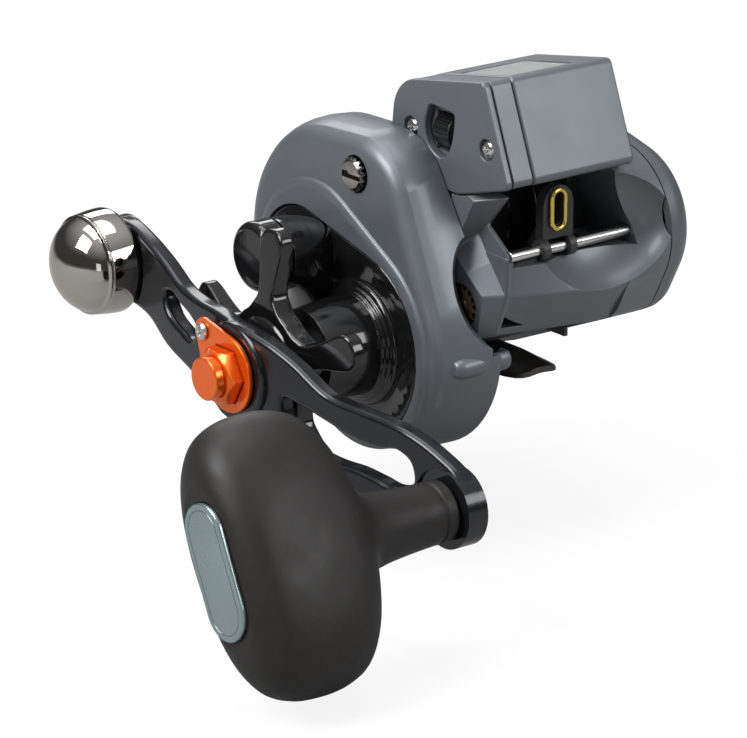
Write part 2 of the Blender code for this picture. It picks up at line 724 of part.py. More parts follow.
def make_side_plate_thumbscrew():
    """Knurled captive screw that holds the handle side cover."""
    outline = []
    lobes = 16
    for index in range(2 * lobes):
        radius = THUMBSCREW_RADIUS * (1.0 if index % 2 else 0.93)
        angle = pi * index / lobes
        outline.append((radius * cos(angle), radius * sin(angle)))
    head = flat([outline], THUMBSCREW_FACE_X, THUMBSCREW_SEAT_X - GAP, THUMBSCREW_AXIS, GAP)
    stem_end = COUNTER_END_X - 3 * GAP
    stem = rod(THUMBSCREW_SEAT_X - 2 * GAP, stem_end, THUMBSCREW_STEM, THUMBSCREW_AXIS, COARSE)
    join(head, stem)
    slot = THUMBSCREW_RADIUS / 5
    y, z = THUMBSCREW_AXIS
    groove = box((THUMBSCREW_FACE_X - OVERRUN, y - THUMBSCREW_RADIUS * 0.75, z - slot),
                 (THUMBSCREW_FACE_X + slot, y + THUMBSCREW_RADIUS * 0.75, z + slot))
    cut(head, groove)
    screw = settle(head)
    reorigin(screw, (THUMBSCREW_SEAT_X, *THUMBSCREW_AXIS))
    place(screw, "side_plate_thumbscrew", GLOSS_BLACK)


# Black bezel insert with its two bosses
MAIN_BOSS_END_X = -0.0412
MAIN_BOSS_RADIUS = 0.0090
TENSION_NECK_RADIUS = 0.0051
TENSION_NECK_END_X = -0.0420
TENSION_BOSS_END_X = -0.0390
TENSION_BOSS_RADIUS = 0.0068
ROLLER_BEARING_RADIUS = 0.0074
ROLLER_BEARING_BORE = 0.0052
ROLLER_BEARING_X = (-0.0292, -0.0350)
MAIN_BEARING_X = (-0.0353, -0.0384)
SPOOL_BEARING_RADIUS = 0.0040
SPOOL_BEARING_HANDLE_X = (-0.0385, -0.0408)
SLEEVE_OUTER = 0.0050
BELL_FOOT_RADIUS = 0.0126
BELL_ROWS = ((0.0, 0.0124), (0.0006, 0.0118), (0.0010, 0.0104), (0.0050, 0.0098))
TENSION_BOSS_ROWS = (
    (-0.0270, 0.0062, 0.0168, 0.0113, 0.0044),
    (-0.0279, 0.0062, 0.0168, 0.0113, 0.0044),
    (-0.0296, 0.0056, 0.0174, 0.0104, 0.0052),
    (-0.0318, 0.0040, 0.0192, 0.0092, 0.0060),
    (-0.0342, 0.0020, 0.0212, 0.0080, 0.0065),
    (-0.0366, 0.0007, 0.0226, 0.0072, 0.0067),
    (-0.0390, 0.0001, 0.0233, 0.0068, 0.0067),
)


def make_bezel_insert():
    """Gloss insert: a dished two lobed plate, the drag boss and the tension boss."""
    rim_depth = INSERT_BACK_X - INSERT_RIM_X
    plate = flat([belt(insert_circles())], INSERT_RIM_X, INSERT_BACK_X, edge=GAP)
    dish = turned([(INSERT_RIM_X - OVERRUN, 0.0),
                   (INSERT_RIM_X - OVERRUN, INSERT_MAIN_RADIUS - 2 * rim_depth),
                   (INSERT_RIM_X + rim_depth / 2, INSERT_MAIN_RADIUS - 3 * rim_depth),
                   (INSERT_RIM_X + rim_depth / 2, 0.0)], MAIN_AXIS, FINE)
    cut(plate, dish)
    plate = settle(plate)
    inner = INSERT_BACK_X - GAP / 2
    bell = turned([(inner, 0.0), (inner, BELL_FOOT_RADIUS),
                   *((INSERT_RIM_X - rise, radius) for rise, radius in BELL_ROWS),
                   (MAIN_BOSS_END_X, MAIN_BOSS_RADIUS), (MAIN_BOSS_END_X, 0.0)], MAIN_AXIS, FINE)
    rings = []
    for x, y, z, radius, spool_radius in TENSION_BOSS_ROWS:
        lobes = [(y, z, radius), (*SPOOL_AXIS, spool_radius)]
        rings.append(ring_at(belt(lobes, 10), x))
    tension = loft(rings)
    neck = rod(TENSION_BOSS_END_X + OVERRUN, TENSION_NECK_END_X, TENSION_NECK_RADIUS, SPOOL_AXIS)
    join(plate, bell, tension, neck)
    spigot = ring(INSERT_BACK_X - GAP, INSERT_BACK_X + COVER_WALL / 2, MAIN_PASSAGE - FIT,
                  ROLLER_BEARING_RADIUS + FIT, MAIN_AXIS, FINE)
    join(plate, spigot)
    plate = settle(plate)
    reach = OVERRUN
    inner = INSERT_BACK_X + reach
    cut(plate, rod(inner, MAIN_BEARING_X[1], ROLLER_BEARING_RADIUS + FIT, MAIN_AXIS, FINE))
    cut(plate, rod(inner, MAIN_BOSS_END_X - reach, SLEEVE_OUTER + 2 * FIT, MAIN_AXIS, FINE))
    bearing = SPOOL_BEARING_RADIUS + FIT
    passage = SPOOL_BEARING_RADIUS - GAP
    shoulder = SPOOL_BEARING_HANDLE_X[0] + GAP
    outer = TENSION_NECK_END_X - reach
    cut(plate, turned([(inner, 0.0), (inner, passage), (shoulder, passage), (shoulder, bearing),
                       (outer, bearing), (outer, 0.0)], SPOOL_AXIS))
    place(settle(plate), "bezel_insert", GLOSS_BLACK)


def reshape(item, matrix):
    """Move the mesh itself by a matrix and let its faces point out again."""
    item.data.transform(matrix @ item.matrix_world)
    item.matrix_world = Matrix.Identity(4)
    work = bmesh.new()
    work.from_mesh(item.data)
    bmesh.ops.recalc_face_normals(work, faces=work.faces)
    work.to_mesh(item.data)
    work.free()
    return item


def smooth_loop(points, per_span=2):
    """Closed smooth curve through the given points."""
    count = len(points)
    outline = []
    for index in range(count):
        before = points[index - 1]
        here = points[index]
        after = points[(index + 1) % count]
        beyond = points[(index + 2) % count]
        for step in range(per_span):
            t = step / per_span
            outline.append(tuple(
                0.5 * (2 * b + (c - a) * t + (2 * a - 5 * b + 4 * c - d) * t * t
                       + (3 * b - a - 3 * c + d) * t * t * t)
                for a, b, c, d in zip(before, here, after, beyond)
            ))
    return outline


def make_washers():
    """Bearings, washers and sleeves that are plain rings along X."""
    rows = (
        ("one_way_bearing", ROLLER_BEARING_X, ROLLER_BEARING_RADIUS,
         ROLLER_BEARING_BORE, MAIN_AXIS, STEEL),
        ("main_bearing", MAIN_BEARING_X, ROLLER_BEARING_RADIUS, ROLLER_BEARING_BORE, MAIN_AXIS, STEEL),
        ("bearing_sleeve", SLEEVE_X, SLEEVE_OUTER, MAIN_SHAFT_RADIUS + FIT, MAIN_AXIS, STEEL),
        ("drag_washer", DRAG_WASHER_X, DRAG_WASHER_RADIUS, MAIN_SHAFT_RADIUS + FIT, MAIN_AXIS, CARBON),
        ("spring_washer", SPRING_WASHER_X, SLEEVE_OUTER, MAIN_SHAFT_RADIUS + FIT, MAIN_AXIS, STEEL),
        ("spool_bearing_handle", SPOOL_BEARING_HANDLE_X, SPOOL_BEARING_RADIUS,
         SPOOL_SHAFT_RADIUS + FIT, SPOOL_AXIS, STEEL),
        ("spool_bearing_palm", SPOOL_BEARING_PALM_X, SPOOL_BEARING_RADIUS,
         SPOOL_SHAFT_RADIUS + FIT, SPOOL_AXIS, STEEL),
        ("pinion_bearing", PINION_BEARING_X, PINION_BEARING_RADIUS,
         SPOOL_SHAFT_RADIUS + FIT, SPOOL_AXIS, STEEL),
        ("worm_bushing_handle", WORM_BUSHING_HANDLE_X, WORM_BUSHING_RADIUS,
         WORM_JOURNAL + FIT, WORM_AXIS, BRASS),
        ("worm_bushing_palm", WORM_BUSHING_PALM_X, WORM_BUSHING_RADIUS,
         WORM_JOURNAL + FIT, WORM_AXIS, BRASS),
    )
    for name, (x_from, x_to), outer, inner, axis, spec in rows:
        steps = MEDIUM if outer > SLEEVE_OUTER / 2 else COARSE
        place(ring(x_from, x_to, outer, inner, axis, steps), name, spec)


# Pieces on the main shaft
MAIN_SHAFT_END_X = -0.0124
MAIN_SHAFT_STEP_X = FRAME_HANDLE_X - GAP
ARM_SEAT_X = -0.0538
ARM_SHANK_RADIUS = 0.0026
SHAFT_TIP_X = -0.0624
SLEEVE_X = (-0.0249, -0.0410)
DRAG_WASHER_X = (-0.0237, -0.0245)
DRAG_WASHER_RADIUS = 0.0120
SPRING_WASHER_X = (-0.0414, -0.0436)
PINION_BEARING_X = (-0.0122, -0.0139)
SPOOL_BEARING_PALM_X = (0.0192, 0.0215)
WORM_BUSHING_RADIUS = 0.0023
WORM_BUSHING_HANDLE_X = (-0.0116, -0.0141)
WORM_BUSHING_PALM_X = (0.0134, 0.0156)
SHAFT_COG_X = (-0.0148, -0.0166)
RATCHET_X = (-0.0171, -0.0182)
RATCHET_RADIUS = 0.0100
RATCHET_TEETH = 10
DRIVE_GEAR_X = (-0.0187, -0.0233)
DRIVE_WEB_RADIUS = 0.0145
DRIVE_BOSS_RADIUS = 0.0055
IDLER_GEAR_X = (-0.0146, -0.0162)
WORM_GEAR_X = (-0.0146, -0.0156)
PINION_TEETH_X = (-0.0191, -0.0250)
PINION_GROOVE_X = -0.0162
PINION_END_X = -0.0151
PINION_NECK_RADIUS = 0.0022
PINION_FLANGE_RADIUS = 0.0030


def make_main_shaft():
    """Shaft from the frame wall out to the handle nut."""
    shaft = turned([
        (MAIN_SHAFT_END_X, 0.0), (MAIN_SHAFT_END_X, MAIN_JOURNAL_RADIUS),
        (MAIN_SHAFT_STEP_X, MAIN_JOURNAL_RADIUS), (MAIN_SHAFT_STEP_X, MAIN_SHAFT_RADIUS),
        (ARM_SEAT_X, MAIN_SHAFT_RADIUS), (ARM_SEAT_X, ARM_SHANK_RADIUS),
        (SHAFT_TIP_X + GAP, ARM_SHANK_RADIUS), (SHAFT_TIP_X, ARM_SHANK_RADIUS - GAP),
        (SHAFT_TIP_X, 0.0),
    ], MAIN_AXIS)
    place(reorigin(shaft, (MAIN_SHAFT_END_X, *MAIN_AXIS)), "main_shaft", STEEL)


def gear(name, teeth, module, phase, x_span, bore, axis, spec):
    """A spur gear with a bored hub."""
    count = MEDIUM if bore > MAIN_SHAFT_RADIUS else COARSE
    loops = [gear_outline(teeth, module, phase), circle(bore, count=count)]
    item = flat(loops, x_span[1], x_span[0], axis)
    return place(reorigin(item, (x_span[0], *axis)), name, spec)


def make_gear_train():
    """Main gear and pinion, and the wheels that drive the worm, in mesh with each other."""
    shaft_bore = MAIN_SHAFT_RADIUS + FIT
    loops = [gear_outline(DRIVE_TEETH, GEAR_MODULE), circle(shaft_bore, count=MEDIUM)]
    drive = flat(loops, DRIVE_GEAR_X[1], DRIVE_GEAR_X[0], MAIN_AXIS)
    width = DRIVE_GEAR_X[0] - DRIVE_GEAR_X[1]
    pocket = ring(DRIVE_GEAR_X[0] - width / 3, DRIVE_GEAR_X[0] + OVERRUN, DRIVE_WEB_RADIUS,
                  DRIVE_BOSS_RADIUS, MAIN_AXIS)
    cut(drive, pocket)
    place(reorigin(settle(drive), (DRIVE_GEAR_X[0], *MAIN_AXIS)), "drive_gear", BRASS)
    wheel = []
    for tooth in range(RATCHET_TEETH):
        start = 2 * pi * tooth / RATCHET_TEETH
        for share, radius_share in ((0.0, 0.84), (0.45, 0.90), (0.94, 1.0)):
            angle = start + share * 2 * pi / RATCHET_TEETH
            radius = RATCHET_RADIUS * radius_share
            wheel.append((radius * cos(angle), radius * sin(angle)))
    ratchet = flat([wheel, circle(shaft_bore, count=MEDIUM)], RATCHET_X[1], RATCHET_X[0], MAIN_AXIS)
    place(reorigin(ratchet, (RATCHET_X[0], *MAIN_AXIS)), "ratchet_wheel", STEEL)
    pinion_phase = mesh_phase(PINION_TEETH, MAIN_SHAFT_BEARING - pi, DRIVE_TEETH, 0.0)
    make_pinion(pinion_phase)
    gear("shaft_cog", WIND_COG_TEETH, WIND_MODULE, 0.0, SHAFT_COG_X, shaft_bore, MAIN_AXIS, BRASS)
    idler_phase = mesh_phase(WIND_IDLER_TEETH, WORM_DIRECTION, WIND_COG_TEETH, 0.0)
    gear("idler_gear", WIND_IDLER_TEETH, WIND_MODULE, idler_phase, IDLER_GEAR_X,
         IDLER_STUD_RADIUS + FIT, IDLER_AXIS, CARBON)
    worm_phase = mesh_phase(WIND_WORM_TEETH, WORM_DIRECTION, WIND_IDLER_TEETH, idler_phase)
    gear("worm_gear", WIND_WORM_TEETH, WIND_MODULE, worm_phase, WORM_GEAR_X,
         WORM_JOURNAL + FIT, WORM_AXIS, BRASS)


def make_pinion(phase):
    """Pinion with its yoke groove."""
    item = flat([gear_outline(PINION_TEETH, GEAR_MODULE, phase)], PINION_TEETH_X[1], PINION_TEETH_X[0],
                SPOOL_AXIS)
    neck = rod(PINION_TEETH_X[0] - GAP, PINION_GROOVE_X + GAP, PINION_NECK_RADIUS, SPOOL_AXIS, COARSE)
    flange = rod(PINION_GROOVE_X, PINION_END_X, PINION_FLANGE_RADIUS, SPOOL_AXIS, COARSE)
    join(item, neck, flange)
    reach = OVERRUN
    bore = SPOOL_SHAFT_RADIUS + FIT
    cut(item, rod(PINION_TEETH_X[1] - reach, PINION_END_X + reach, bore, SPOOL_AXIS, COARSE))
    place(reorigin(settle(item), (PINION_END_X, *SPOOL_AXIS)), "pinion", BRASS)


# Handle arm: two half plates swept back towards the body, joined at a hub.
# Half outlines are (reach from the main axis, distance below the arm's middle line).
KNOB_HALF_OUTLINE = (
    (-0.0030, -0.0090), (0.0060, -0.0101), (0.0146, -0.0094), (0.0243, -0.0072), (0.0343, -0.0084),
    (0.0436, -0.0098), (0.0530, -0.0093), (0.0605, -0.0070), (0.0646, -0.0010), (0.0632, 0.0052),
    (0.0575, 0.0076), (0.0510, 0.0076), (0.0430, 0.0076), (0.0350, 0.0086), (0.0265, 0.0098),
    (0.0190, 0.0101), (0.0100, 0.0099), (-0.0030, 0.0090),
)
KNOB_HALF_OPENING = (
    (0.0139, -0.0010), (0.0185, -0.0018), (0.0240, -0.0019), (0.0300, -0.0020), (0.0387, -0.0032),
    (0.0440, -0.0051), (0.0476, -0.0043), (0.0490, -0.0011), (0.0450, 0.0023), (0.0400, 0.0029),
    (0.0350, 0.0035), (0.0290, 0.0049), (0.0240, 0.0054), (0.0180, 0.0047), (0.0148, 0.0022),
)
WEIGHT_HALF_OUTLINE = (
    (-0.0030, -0.0085), (0.0090, -0.0086), (0.0160, -0.0072), (0.0220, -0.0067), (0.0305, -0.0082),
    (0.0390, -0.0090), (0.0473, -0.0086), (0.0535, -0.0058), (0.0556, 0.0), (0.0535, 0.0058),
    (0.0473, 0.0080), (0.0400, 0.0062), (0.0330, 0.0056), (0.0250, 0.0076), (0.0150, 0.0080),
    (0.0060, 0.0086), (-0.0030, 0.0085),
)
WEIGHT_HALF_OPENING = (
    (0.0150, -0.0016), (0.0175, -0.0026), (0.0215, -0.0030), (0.0262, -0.0036), (0.0282, -0.0022),
    (0.0262, 0.0004), (0.0205, 0.0016), (0.0160, 0.0014),
)
ARM_EDGE = 0.0006
ARM_HUB_BACK_X = -0.0541
KNOB_BOSS_X = (-0.0514, -0.0470)
WEIGHT_BOSS_X = (-0.0526, -0.0484)
STUD_RADIUS = 0.0020


def arm_point(reach, below):
    """Point (y, z) on the arm, by its reach along the arm and distance below it."""
    return (
        MAIN_AXIS[0] - reach * cos(ARM_ANGLE) + below * sin(ARM_ANGLE),
        MAIN_AXIS[1] - reach * sin(ARM_ANGLE) - below * cos(ARM_ANGLE),
    )


KNOB_AXIS = arm_point(KNOB_REACH, 0.0)
WEIGHT_AXIS = arm_point(-WEIGHT_REACH, 0.0)


def arm_half(outline, opening, side):
    """Half of the arm, swept back from the hub. Side is 1 to the knob and -1 to the weight."""
    item = flat([smooth_loop(outline), smooth_loop(opening)], 0.0, ARM_THICKNESS, edge=ARM_EDGE)
    along = Vector((0.0, -cos(ARM_ANGLE), -sin(ARM_ANGLE))) * side
    below = Vector((0.0, sin(ARM_ANGLE), -cos(ARM_ANGLE)))
    inward = Vector((1.0, 0.0, 0.0))
    swept = along * cos(ARM_SWEEP) + inward * sin(ARM_SWEEP)
    depth = inward * cos(ARM_SWEEP) - along * sin(ARM_SWEEP)
    turn = Matrix((depth, swept, below)).transposed().to_4x4()
    return reshape(item, Matrix.Translation((ARM_FACE_X, *MAIN_AXIS)) @ turn)


def make_handle_arm():
    """Swept handle with two openings, a hub and a boss at each end."""
    arm = arm_half(KNOB_HALF_OUTLINE, KNOB_HALF_OPENING, 1.0)
    rear = arm_half(WEIGHT_HALF_OUTLINE, WEIGHT_HALF_OPENING, -1.0)
    edge = ARM_EDGE
    hub = turned([(ARM_FACE_X, 0.0), (ARM_FACE_X, ARM_HUB_RADIUS - edge),
                  (ARM_FACE_X + edge, ARM_HUB_RADIUS),
                  (ARM_HUB_BACK_X - edge, ARM_HUB_RADIUS), (ARM_HUB_BACK_X, ARM_HUB_RADIUS - edge),
                  (ARM_HUB_BACK_X, 0.0)], MAIN_AXIS)
    knob_boss = rod(*KNOB_BOSS_X, KNOB_END_RADIUS, KNOB_AXIS)
    weight_boss = rod(*WEIGHT_BOSS_X, WEIGHT_END_RADIUS, WEIGHT_AXIS)
    join(arm, rear, hub, knob_boss, weight_boss)
    reach = OVERRUN
    far = 2 * KNOB_REACH
    cut(arm, box((ARM_FACE_X - reach, -far, -far), (ARM_FACE_X, far, far)))
    cut(arm, rod(ARM_FACE_X - reach, ARM_HUB_BACK_X + reach, ARM_SHANK_RADIUS + FIT, MAIN_AXIS))
    for face, radius, axis in ((KNOB_BOSS_X[0], KNOB_END_RADIUS, KNOB_AXIS),
                               (WEIGHT_BOSS_X[0], WEIGHT_RADIUS + GAP, WEIGHT_AXIS)):
        cut(arm, rod(face - 2 * reach, face, radius + GAP, axis))
    bore = STUD_RADIUS + FIT
    cut(arm, rod(KNOB_BOSS_X[0] - reach, KNOB_BOSS_X[1] + reach, bore, KNOB_AXIS, COARSE))
    cut(arm, rod(WEIGHT_BOSS_X[0] - reach, WEIGHT_BOSS_X[1] + reach, bore, WEIGHT_AXIS, COARSE))
    stem_end = ARM_HUB_BACK_X - ARM_EDGE
    cut(arm, rod(RETAINER_X[1] - reach, stem_end, RETAINER_STEM, RETAINER_SCREW_AXIS, TINY))
    place(reorigin(settle(arm), (ARM_FACE_X, *MAIN_AXIS)), "handle_arm", ARM_BLACK)


# Nut, retainer plate and its screw
NUT_HEX = 0.0100
NUT_X = (-0.0583, -0.0622)
NUT_CAP_RADIUS = 0.0042
NUT_CAP_X = -0.0643
RETAINER_X = (-0.0583, -0.0592)
RETAINER_RADIUS = 0.0076
RETAINER_SCREW_AXIS = (-0.0046, 0.0129)
RETAINER_LOBE = 0.0026
RETAINER_STEM = 0.0010
RETAINER_HEAD = 0.0017


def hexagon(across_flats, start=0.0):
    """Outline of a hexagon."""
    return circle(across_flats / (2 * cos(pi / 6)), count=6, start=start)


def make_handle_nut():
    """Hexagon nut with a round cap."""
    nut = flat([hexagon(NUT_HEX)], NUT_X[1], NUT_X[0], MAIN_AXIS)
    dome = turned([(NUT_X[0] - GAP, 0.0), (NUT_X[0] - GAP, NUT_CAP_RADIUS),
                   (NUT_CAP_X + 2 * GAP, NUT_CAP_RADIUS), (NUT_CAP_X, NUT_CAP_RADIUS - 2 * GAP),
                   (NUT_CAP_X, 0.0)], MAIN_AXIS, COARSE)
    crown = turned([(NUT_X[1] - OVERRUN, 0.0), (NUT_X[1] - OVERRUN, NUT_HEX / 2 - OVERRUN / 2),
                    (NUT_X[0], NUT_HEX * 0.62), (NUT_X[0] + OVERRUN, NUT_HEX * 0.62),
                    (NUT_X[0] + OVERRUN, 0.0)], MAIN_AXIS)
    step = nut.modifiers.new("crown", "BOOLEAN")
    step.operation = "INTERSECT"
    step.solver = "EXACT"
    step.object = as_cutter(crown)
    join(nut, dome)
    cut(nut, rod(SHAFT_TIP_X - GAP, NUT_X[0] + OVERRUN, ARM_SHANK_RADIUS + FIT, MAIN_AXIS))
    place(settle(nut), "handle_nut", ORANGE)


def make_nut_retainer():
    """Plate that keeps the nut from turning, with the lobe for its screw."""
    lobes = [(*MAIN_AXIS, RETAINER_RADIUS), (*RETAINER_SCREW_AXIS, RETAINER_LOBE)]
    outline = belt(lobes, 8)
    plate = flat([outline], RETAINER_X[1], RETAINER_X[0], edge=GAP / 2)
    hexes = [(y + MAIN_AXIS[0], z + MAIN_AXIS[1]) for y, z in hexagon(NUT_HEX + 2 * GAP)]
    reach = OVERRUN
    cut(plate, flat([hexes], RETAINER_X[1] - reach, RETAINER_X[0] + reach))
    stem = RETAINER_STEM + FIT
    cut(plate, rod(RETAINER_X[1] - reach, RETAINER_X[0] + reach, stem, RETAINER_SCREW_AXIS, TINY))
    place(settle(plate), "nut_retainer", ORANGE)


def cross_slot(item, face_x, axis, size, depth, side=1.0):
    """Cut a cross recess into a screw head that faces -X, or +X with side -1."""
    y, z = axis
    low = min(face_x - side * OVERRUN, face_x + side * depth)
    high = max(face_x - side * OVERRUN, face_x + side * depth)
    thin = size / 5
    cut(item, box((low, y - size, z - thin), (high, y + size, z + thin)))
    cut(item, box((low, y - thin, z - size), (high, y + thin, z + size)))


def make_retainer_screw():
    """Small cross head screw of the retainer."""
    top = RETAINER_X[1] - 3 * GAP
    seat = RETAINER_X[1] - GAP / 2
    end = ARM_HUB_BACK_X - ARM_EDGE - GAP
    stem = RETAINER_STEM - FIT
    screw = turned([(top, 0.0), (top, RETAINER_HEAD - GAP), (top + GAP, RETAINER_HEAD),
                    (seat, RETAINER_HEAD), (seat, stem), (end, stem), (end, 0.0)],
                   RETAINER_SCREW_AXIS, COARSE)
    cross_slot(screw, top, RETAINER_SCREW_AXIS, RETAINER_HEAD * 0.55, 1.5 * GAP)
    place(settle(screw), "retainer_screw", STEEL)


# Counterweight
WEIGHT_BACK_X = WEIGHT_BOSS_X[0] - GAP
WEIGHT_PROFILE_SHARES = ((0.0, 0.86), (0.035, 0.97), (0.10, 1.0), (0.50, 0.955), (0.555, 0.905),
                       (0.60, 0.86), (0.74, 0.76), (0.87, 0.56), (0.96, 0.30), (1.0, 0.0))
WEIGHT_RADIUS = 0.0105
WEIGHT_LENGTH = 0.0131


def make_counterweight():
    """Domed weight with a stud through the end of the arm."""
    profile = [(WEIGHT_BACK_X, 0.0)]
    for share, radius_share in WEIGHT_PROFILE_SHARES:
        profile.append((WEIGHT_BACK_X - share * WEIGHT_LENGTH, radius_share * WEIGHT_RADIUS))
    weight = turned(profile, WEIGHT_AXIS, FINE)
    stud = rod(WEIGHT_BACK_X - OVERRUN, WEIGHT_BOSS_X[1], STUD_RADIUS, WEIGHT_AXIS, COARSE)
    join(weight, stud)
    place(settle(weight), "counterweight", DARK_CHROME)


# Knob
SPINDLE_HEAD_X = -0.0985
SPINDLE_HEAD_RADIUS = 0.0032
KNOB_CORE_X = (-0.0520, -0.0968)
KNOB_CORE_RADIUS = 0.0040
KNOB_GRIP_X = (-0.0520, -0.1020)
KNOB_TILT = radians(61.0)
INLAY_TILT = radians(64.0)
INLAY_LENGTH = 0.0250
INLAY_WIDTH = 0.0095
INLAY_DEPTH = 0.0009
KNOB_POWER = 2.3
GRIP_ROWS = (
    (-0.0520, 0.0054, 0.0054), (-0.0524, 0.0058, 0.0058), (-0.0544, 0.0059, 0.0059),
    (-0.0548, 0.0056, 0.0056), (-0.0552, 0.0058, 0.0058), (-0.0620, 0.0062, 0.0062),
    (-0.0680, 0.0069, 0.0069), (-0.0715, 0.0078, 0.0077), (-0.0735, 0.0108, 0.0092),
    (-0.0746, 0.0165, 0.0110), (-0.0762, 0.0208, 0.0124), (-0.0790, 0.0243, 0.0137),
    (-0.0835, 0.0262, 0.0144), (-0.0885, 0.0266, 0.0146), (-0.0935, 0.0260, 0.0143),
    (-0.0975, 0.0242, 0.0134), (-0.1000, 0.0215, 0.0120), (-0.1015, 0.0182, 0.0100),
    (-0.1020, 0.0155, 0.0078),
)


def grip_ring(x, half_length, half_width):
    """Section of the grip: round at the neck, a rounded oblong in the body."""
    blend = min(1.0, (half_length / half_width - 1.0) / 0.5)
    power = 2.0 + (KNOB_POWER - 2.0) * blend
    points = []
    for index in range(MEDIUM):
        angle = 2 * pi * index / MEDIUM
        c = cos(angle)
        s = sin(angle)
        u = half_length * (abs(c) ** (2 / power)) * (1 if c >= 0 else -1)
        v = half_width * (abs(s) ** (2 / power)) * (1 if s >= 0 else -1)
        y = KNOB_AXIS[0] + u * cos(KNOB_TILT) - v * sin(KNOB_TILT)
        z = KNOB_AXIS[1] + u * sin(KNOB_TILT) + v * cos(KNOB_TILT)
        points.append((x, y, z))
    return points


def make_knob():
    """Foam grip on a core that turns on the spindle, with a flush oval inlay."""
    neck_end = KNOB_CORE_X[1] - GAP
    spindle = turned([(KNOB_BOSS_X[1], 0.0), (KNOB_BOSS_X[1], STUD_RADIUS), (neck_end, STUD_RADIUS),
                      (neck_end, SPINDLE_HEAD_RADIUS), (SPINDLE_HEAD_X, SPINDLE_HEAD_RADIUS),
                      (SPINDLE_HEAD_X, 0.0)], KNOB_AXIS, COARSE)
    place(reorigin(spindle, (KNOB_BOSS_X[1], *KNOB_AXIS)), "knob_spindle", STEEL)
    core = ring(*KNOB_CORE_X, KNOB_CORE_RADIUS, STUD_RADIUS + FIT, KNOB_AXIS, COARSE)
    place(reorigin(core, (KNOB_CORE_X[0], *KNOB_AXIS)), "knob_core", GLOSS_BLACK)
    grip = loft([grip_ring(*row) for row in GRIP_ROWS])
    core_room = KNOB_CORE_RADIUS + FIT
    hollow = rod(KNOB_GRIP_X[0] + OVERRUN, SPINDLE_HEAD_X - GAP, core_room, KNOB_AXIS, COARSE)
    outline = capsule(INLAY_LENGTH, INLAY_WIDTH, KNOB_AXIS, INLAY_TILT)
    seat = capsule(INLAY_LENGTH + 2 * FIT, INLAY_WIDTH + 2 * FIT, KNOB_AXIS, INLAY_TILT)
    seat_x = KNOB_GRIP_X[1] + INLAY_DEPTH
    cut(grip, hollow, flat([seat], KNOB_GRIP_X[1] - OVERRUN, seat_x))
    place(reorigin(settle(grip), (KNOB_GRIP_X[0], *KNOB_AXIS)), "eva_grip", EVA)
    inlay = flat([outline], KNOB_GRIP_X[1] - GAP, seat_x - GAP / 2, edge=GAP / 2)
    place(reorigin(inlay, (seat_x, *KNOB_AXIS)), "knob_inlay", INLAY)


# Star drag
STAR_ARMS = 5
STAR_TURN = radians(17.0)
STAR_FACE_X = -0.0503
STAR_BACK_X = -0.0460
STAR_FACE_DISH = 0.16
STAR_BACK_DISH = 0.07
STAR_ROOT = 0.0114
STAR_HUB = 0.0094
STAR_HUB_X = (-0.0520, -0.0442)
STAR_BORE = MAIN_SHAFT_RADIUS + GAP
STAR_ARM_ROWS = ((0.0121, 0.0034), (0.0134, 0.0025), (0.0160, 0.0024), (0.0195, 0.0029), (0.0225, 0.0034),
                 (0.0243, 0.0033), (0.0254, 0.0025), (0.0260, 0.0012))


def star_outline():
    """Outline of the star: narrow arms that widen to round tips."""
    outline = []
    for arm in range(STAR_ARMS):
        middle = STAR_TURN + 2 * pi * arm / STAR_ARMS
        for turn in (-0.5, -0.38):
            angle = middle + turn * 2 * pi / STAR_ARMS
            outline.append((STAR_ROOT * cos(angle), STAR_ROOT * sin(angle)))
        arm_side = [(reach, -half) for reach, half in STAR_ARM_ROWS]
        arm_side += [(reach, half) for reach, half in reversed(STAR_ARM_ROWS)]
        for reach, across in arm_side:
            outline.append((reach * cos(middle) - across * sin(middle),
                            reach * sin(middle) + across * cos(middle)))
        angle = middle + 0.38 * 2 * pi / STAR_ARMS
        outline.append((STAR_ROOT * cos(angle), STAR_ROOT * sin(angle)))
    return outline


def make_star_drag():
    """Dished five armed star with its hub."""
    star = flat([star_outline(), circle(STAR_HUB * 0.7)], STAR_FACE_X, STAR_BACK_X, MAIN_AXIS, 2 * GAP)
    reshape(star, Matrix.Identity(4))
    for vertex in star.data.vertices:
        reach = hypot(vertex.co.y - MAIN_AXIS[0], vertex.co.z - MAIN_AXIS[1])
        depth_share = (vertex.co.x - STAR_FACE_X) / (STAR_BACK_X - STAR_FACE_X)
        dish = STAR_FACE_DISH + (STAR_BACK_DISH - STAR_FACE_DISH) * depth_share
        vertex.co.x += max(0.0, reach - STAR_ROOT) * dish
    edge = 2 * GAP
    hub = turned([(STAR_HUB_X[0], STAR_BORE), (STAR_HUB_X[0], STAR_HUB * 0.72),
                  (STAR_HUB_X[0] + edge, STAR_HUB * 0.86),
                  (STAR_HUB_X[0] + 3 * edge, STAR_HUB), (STAR_HUB_X[1], STAR_HUB * 0.93),
                  (STAR_HUB_X[1], STAR_BORE)], MAIN_AXIS, MEDIUM, closed=True)
    join(star, hub)
    place(reorigin(settle(star), (STAR_HUB_X[0], *MAIN_AXIS)), "star_drag", GLOSS_BLACK)


# Cast control knob on the spool axis
TENSION_KNOB_X = (-0.0396, -0.0446)
TENSION_KNOB_RADIUS = 0.0069
TENSION_KNOB_BORE = 0.0055
TENSION_KNOB_FLOOR_X = -0.0433


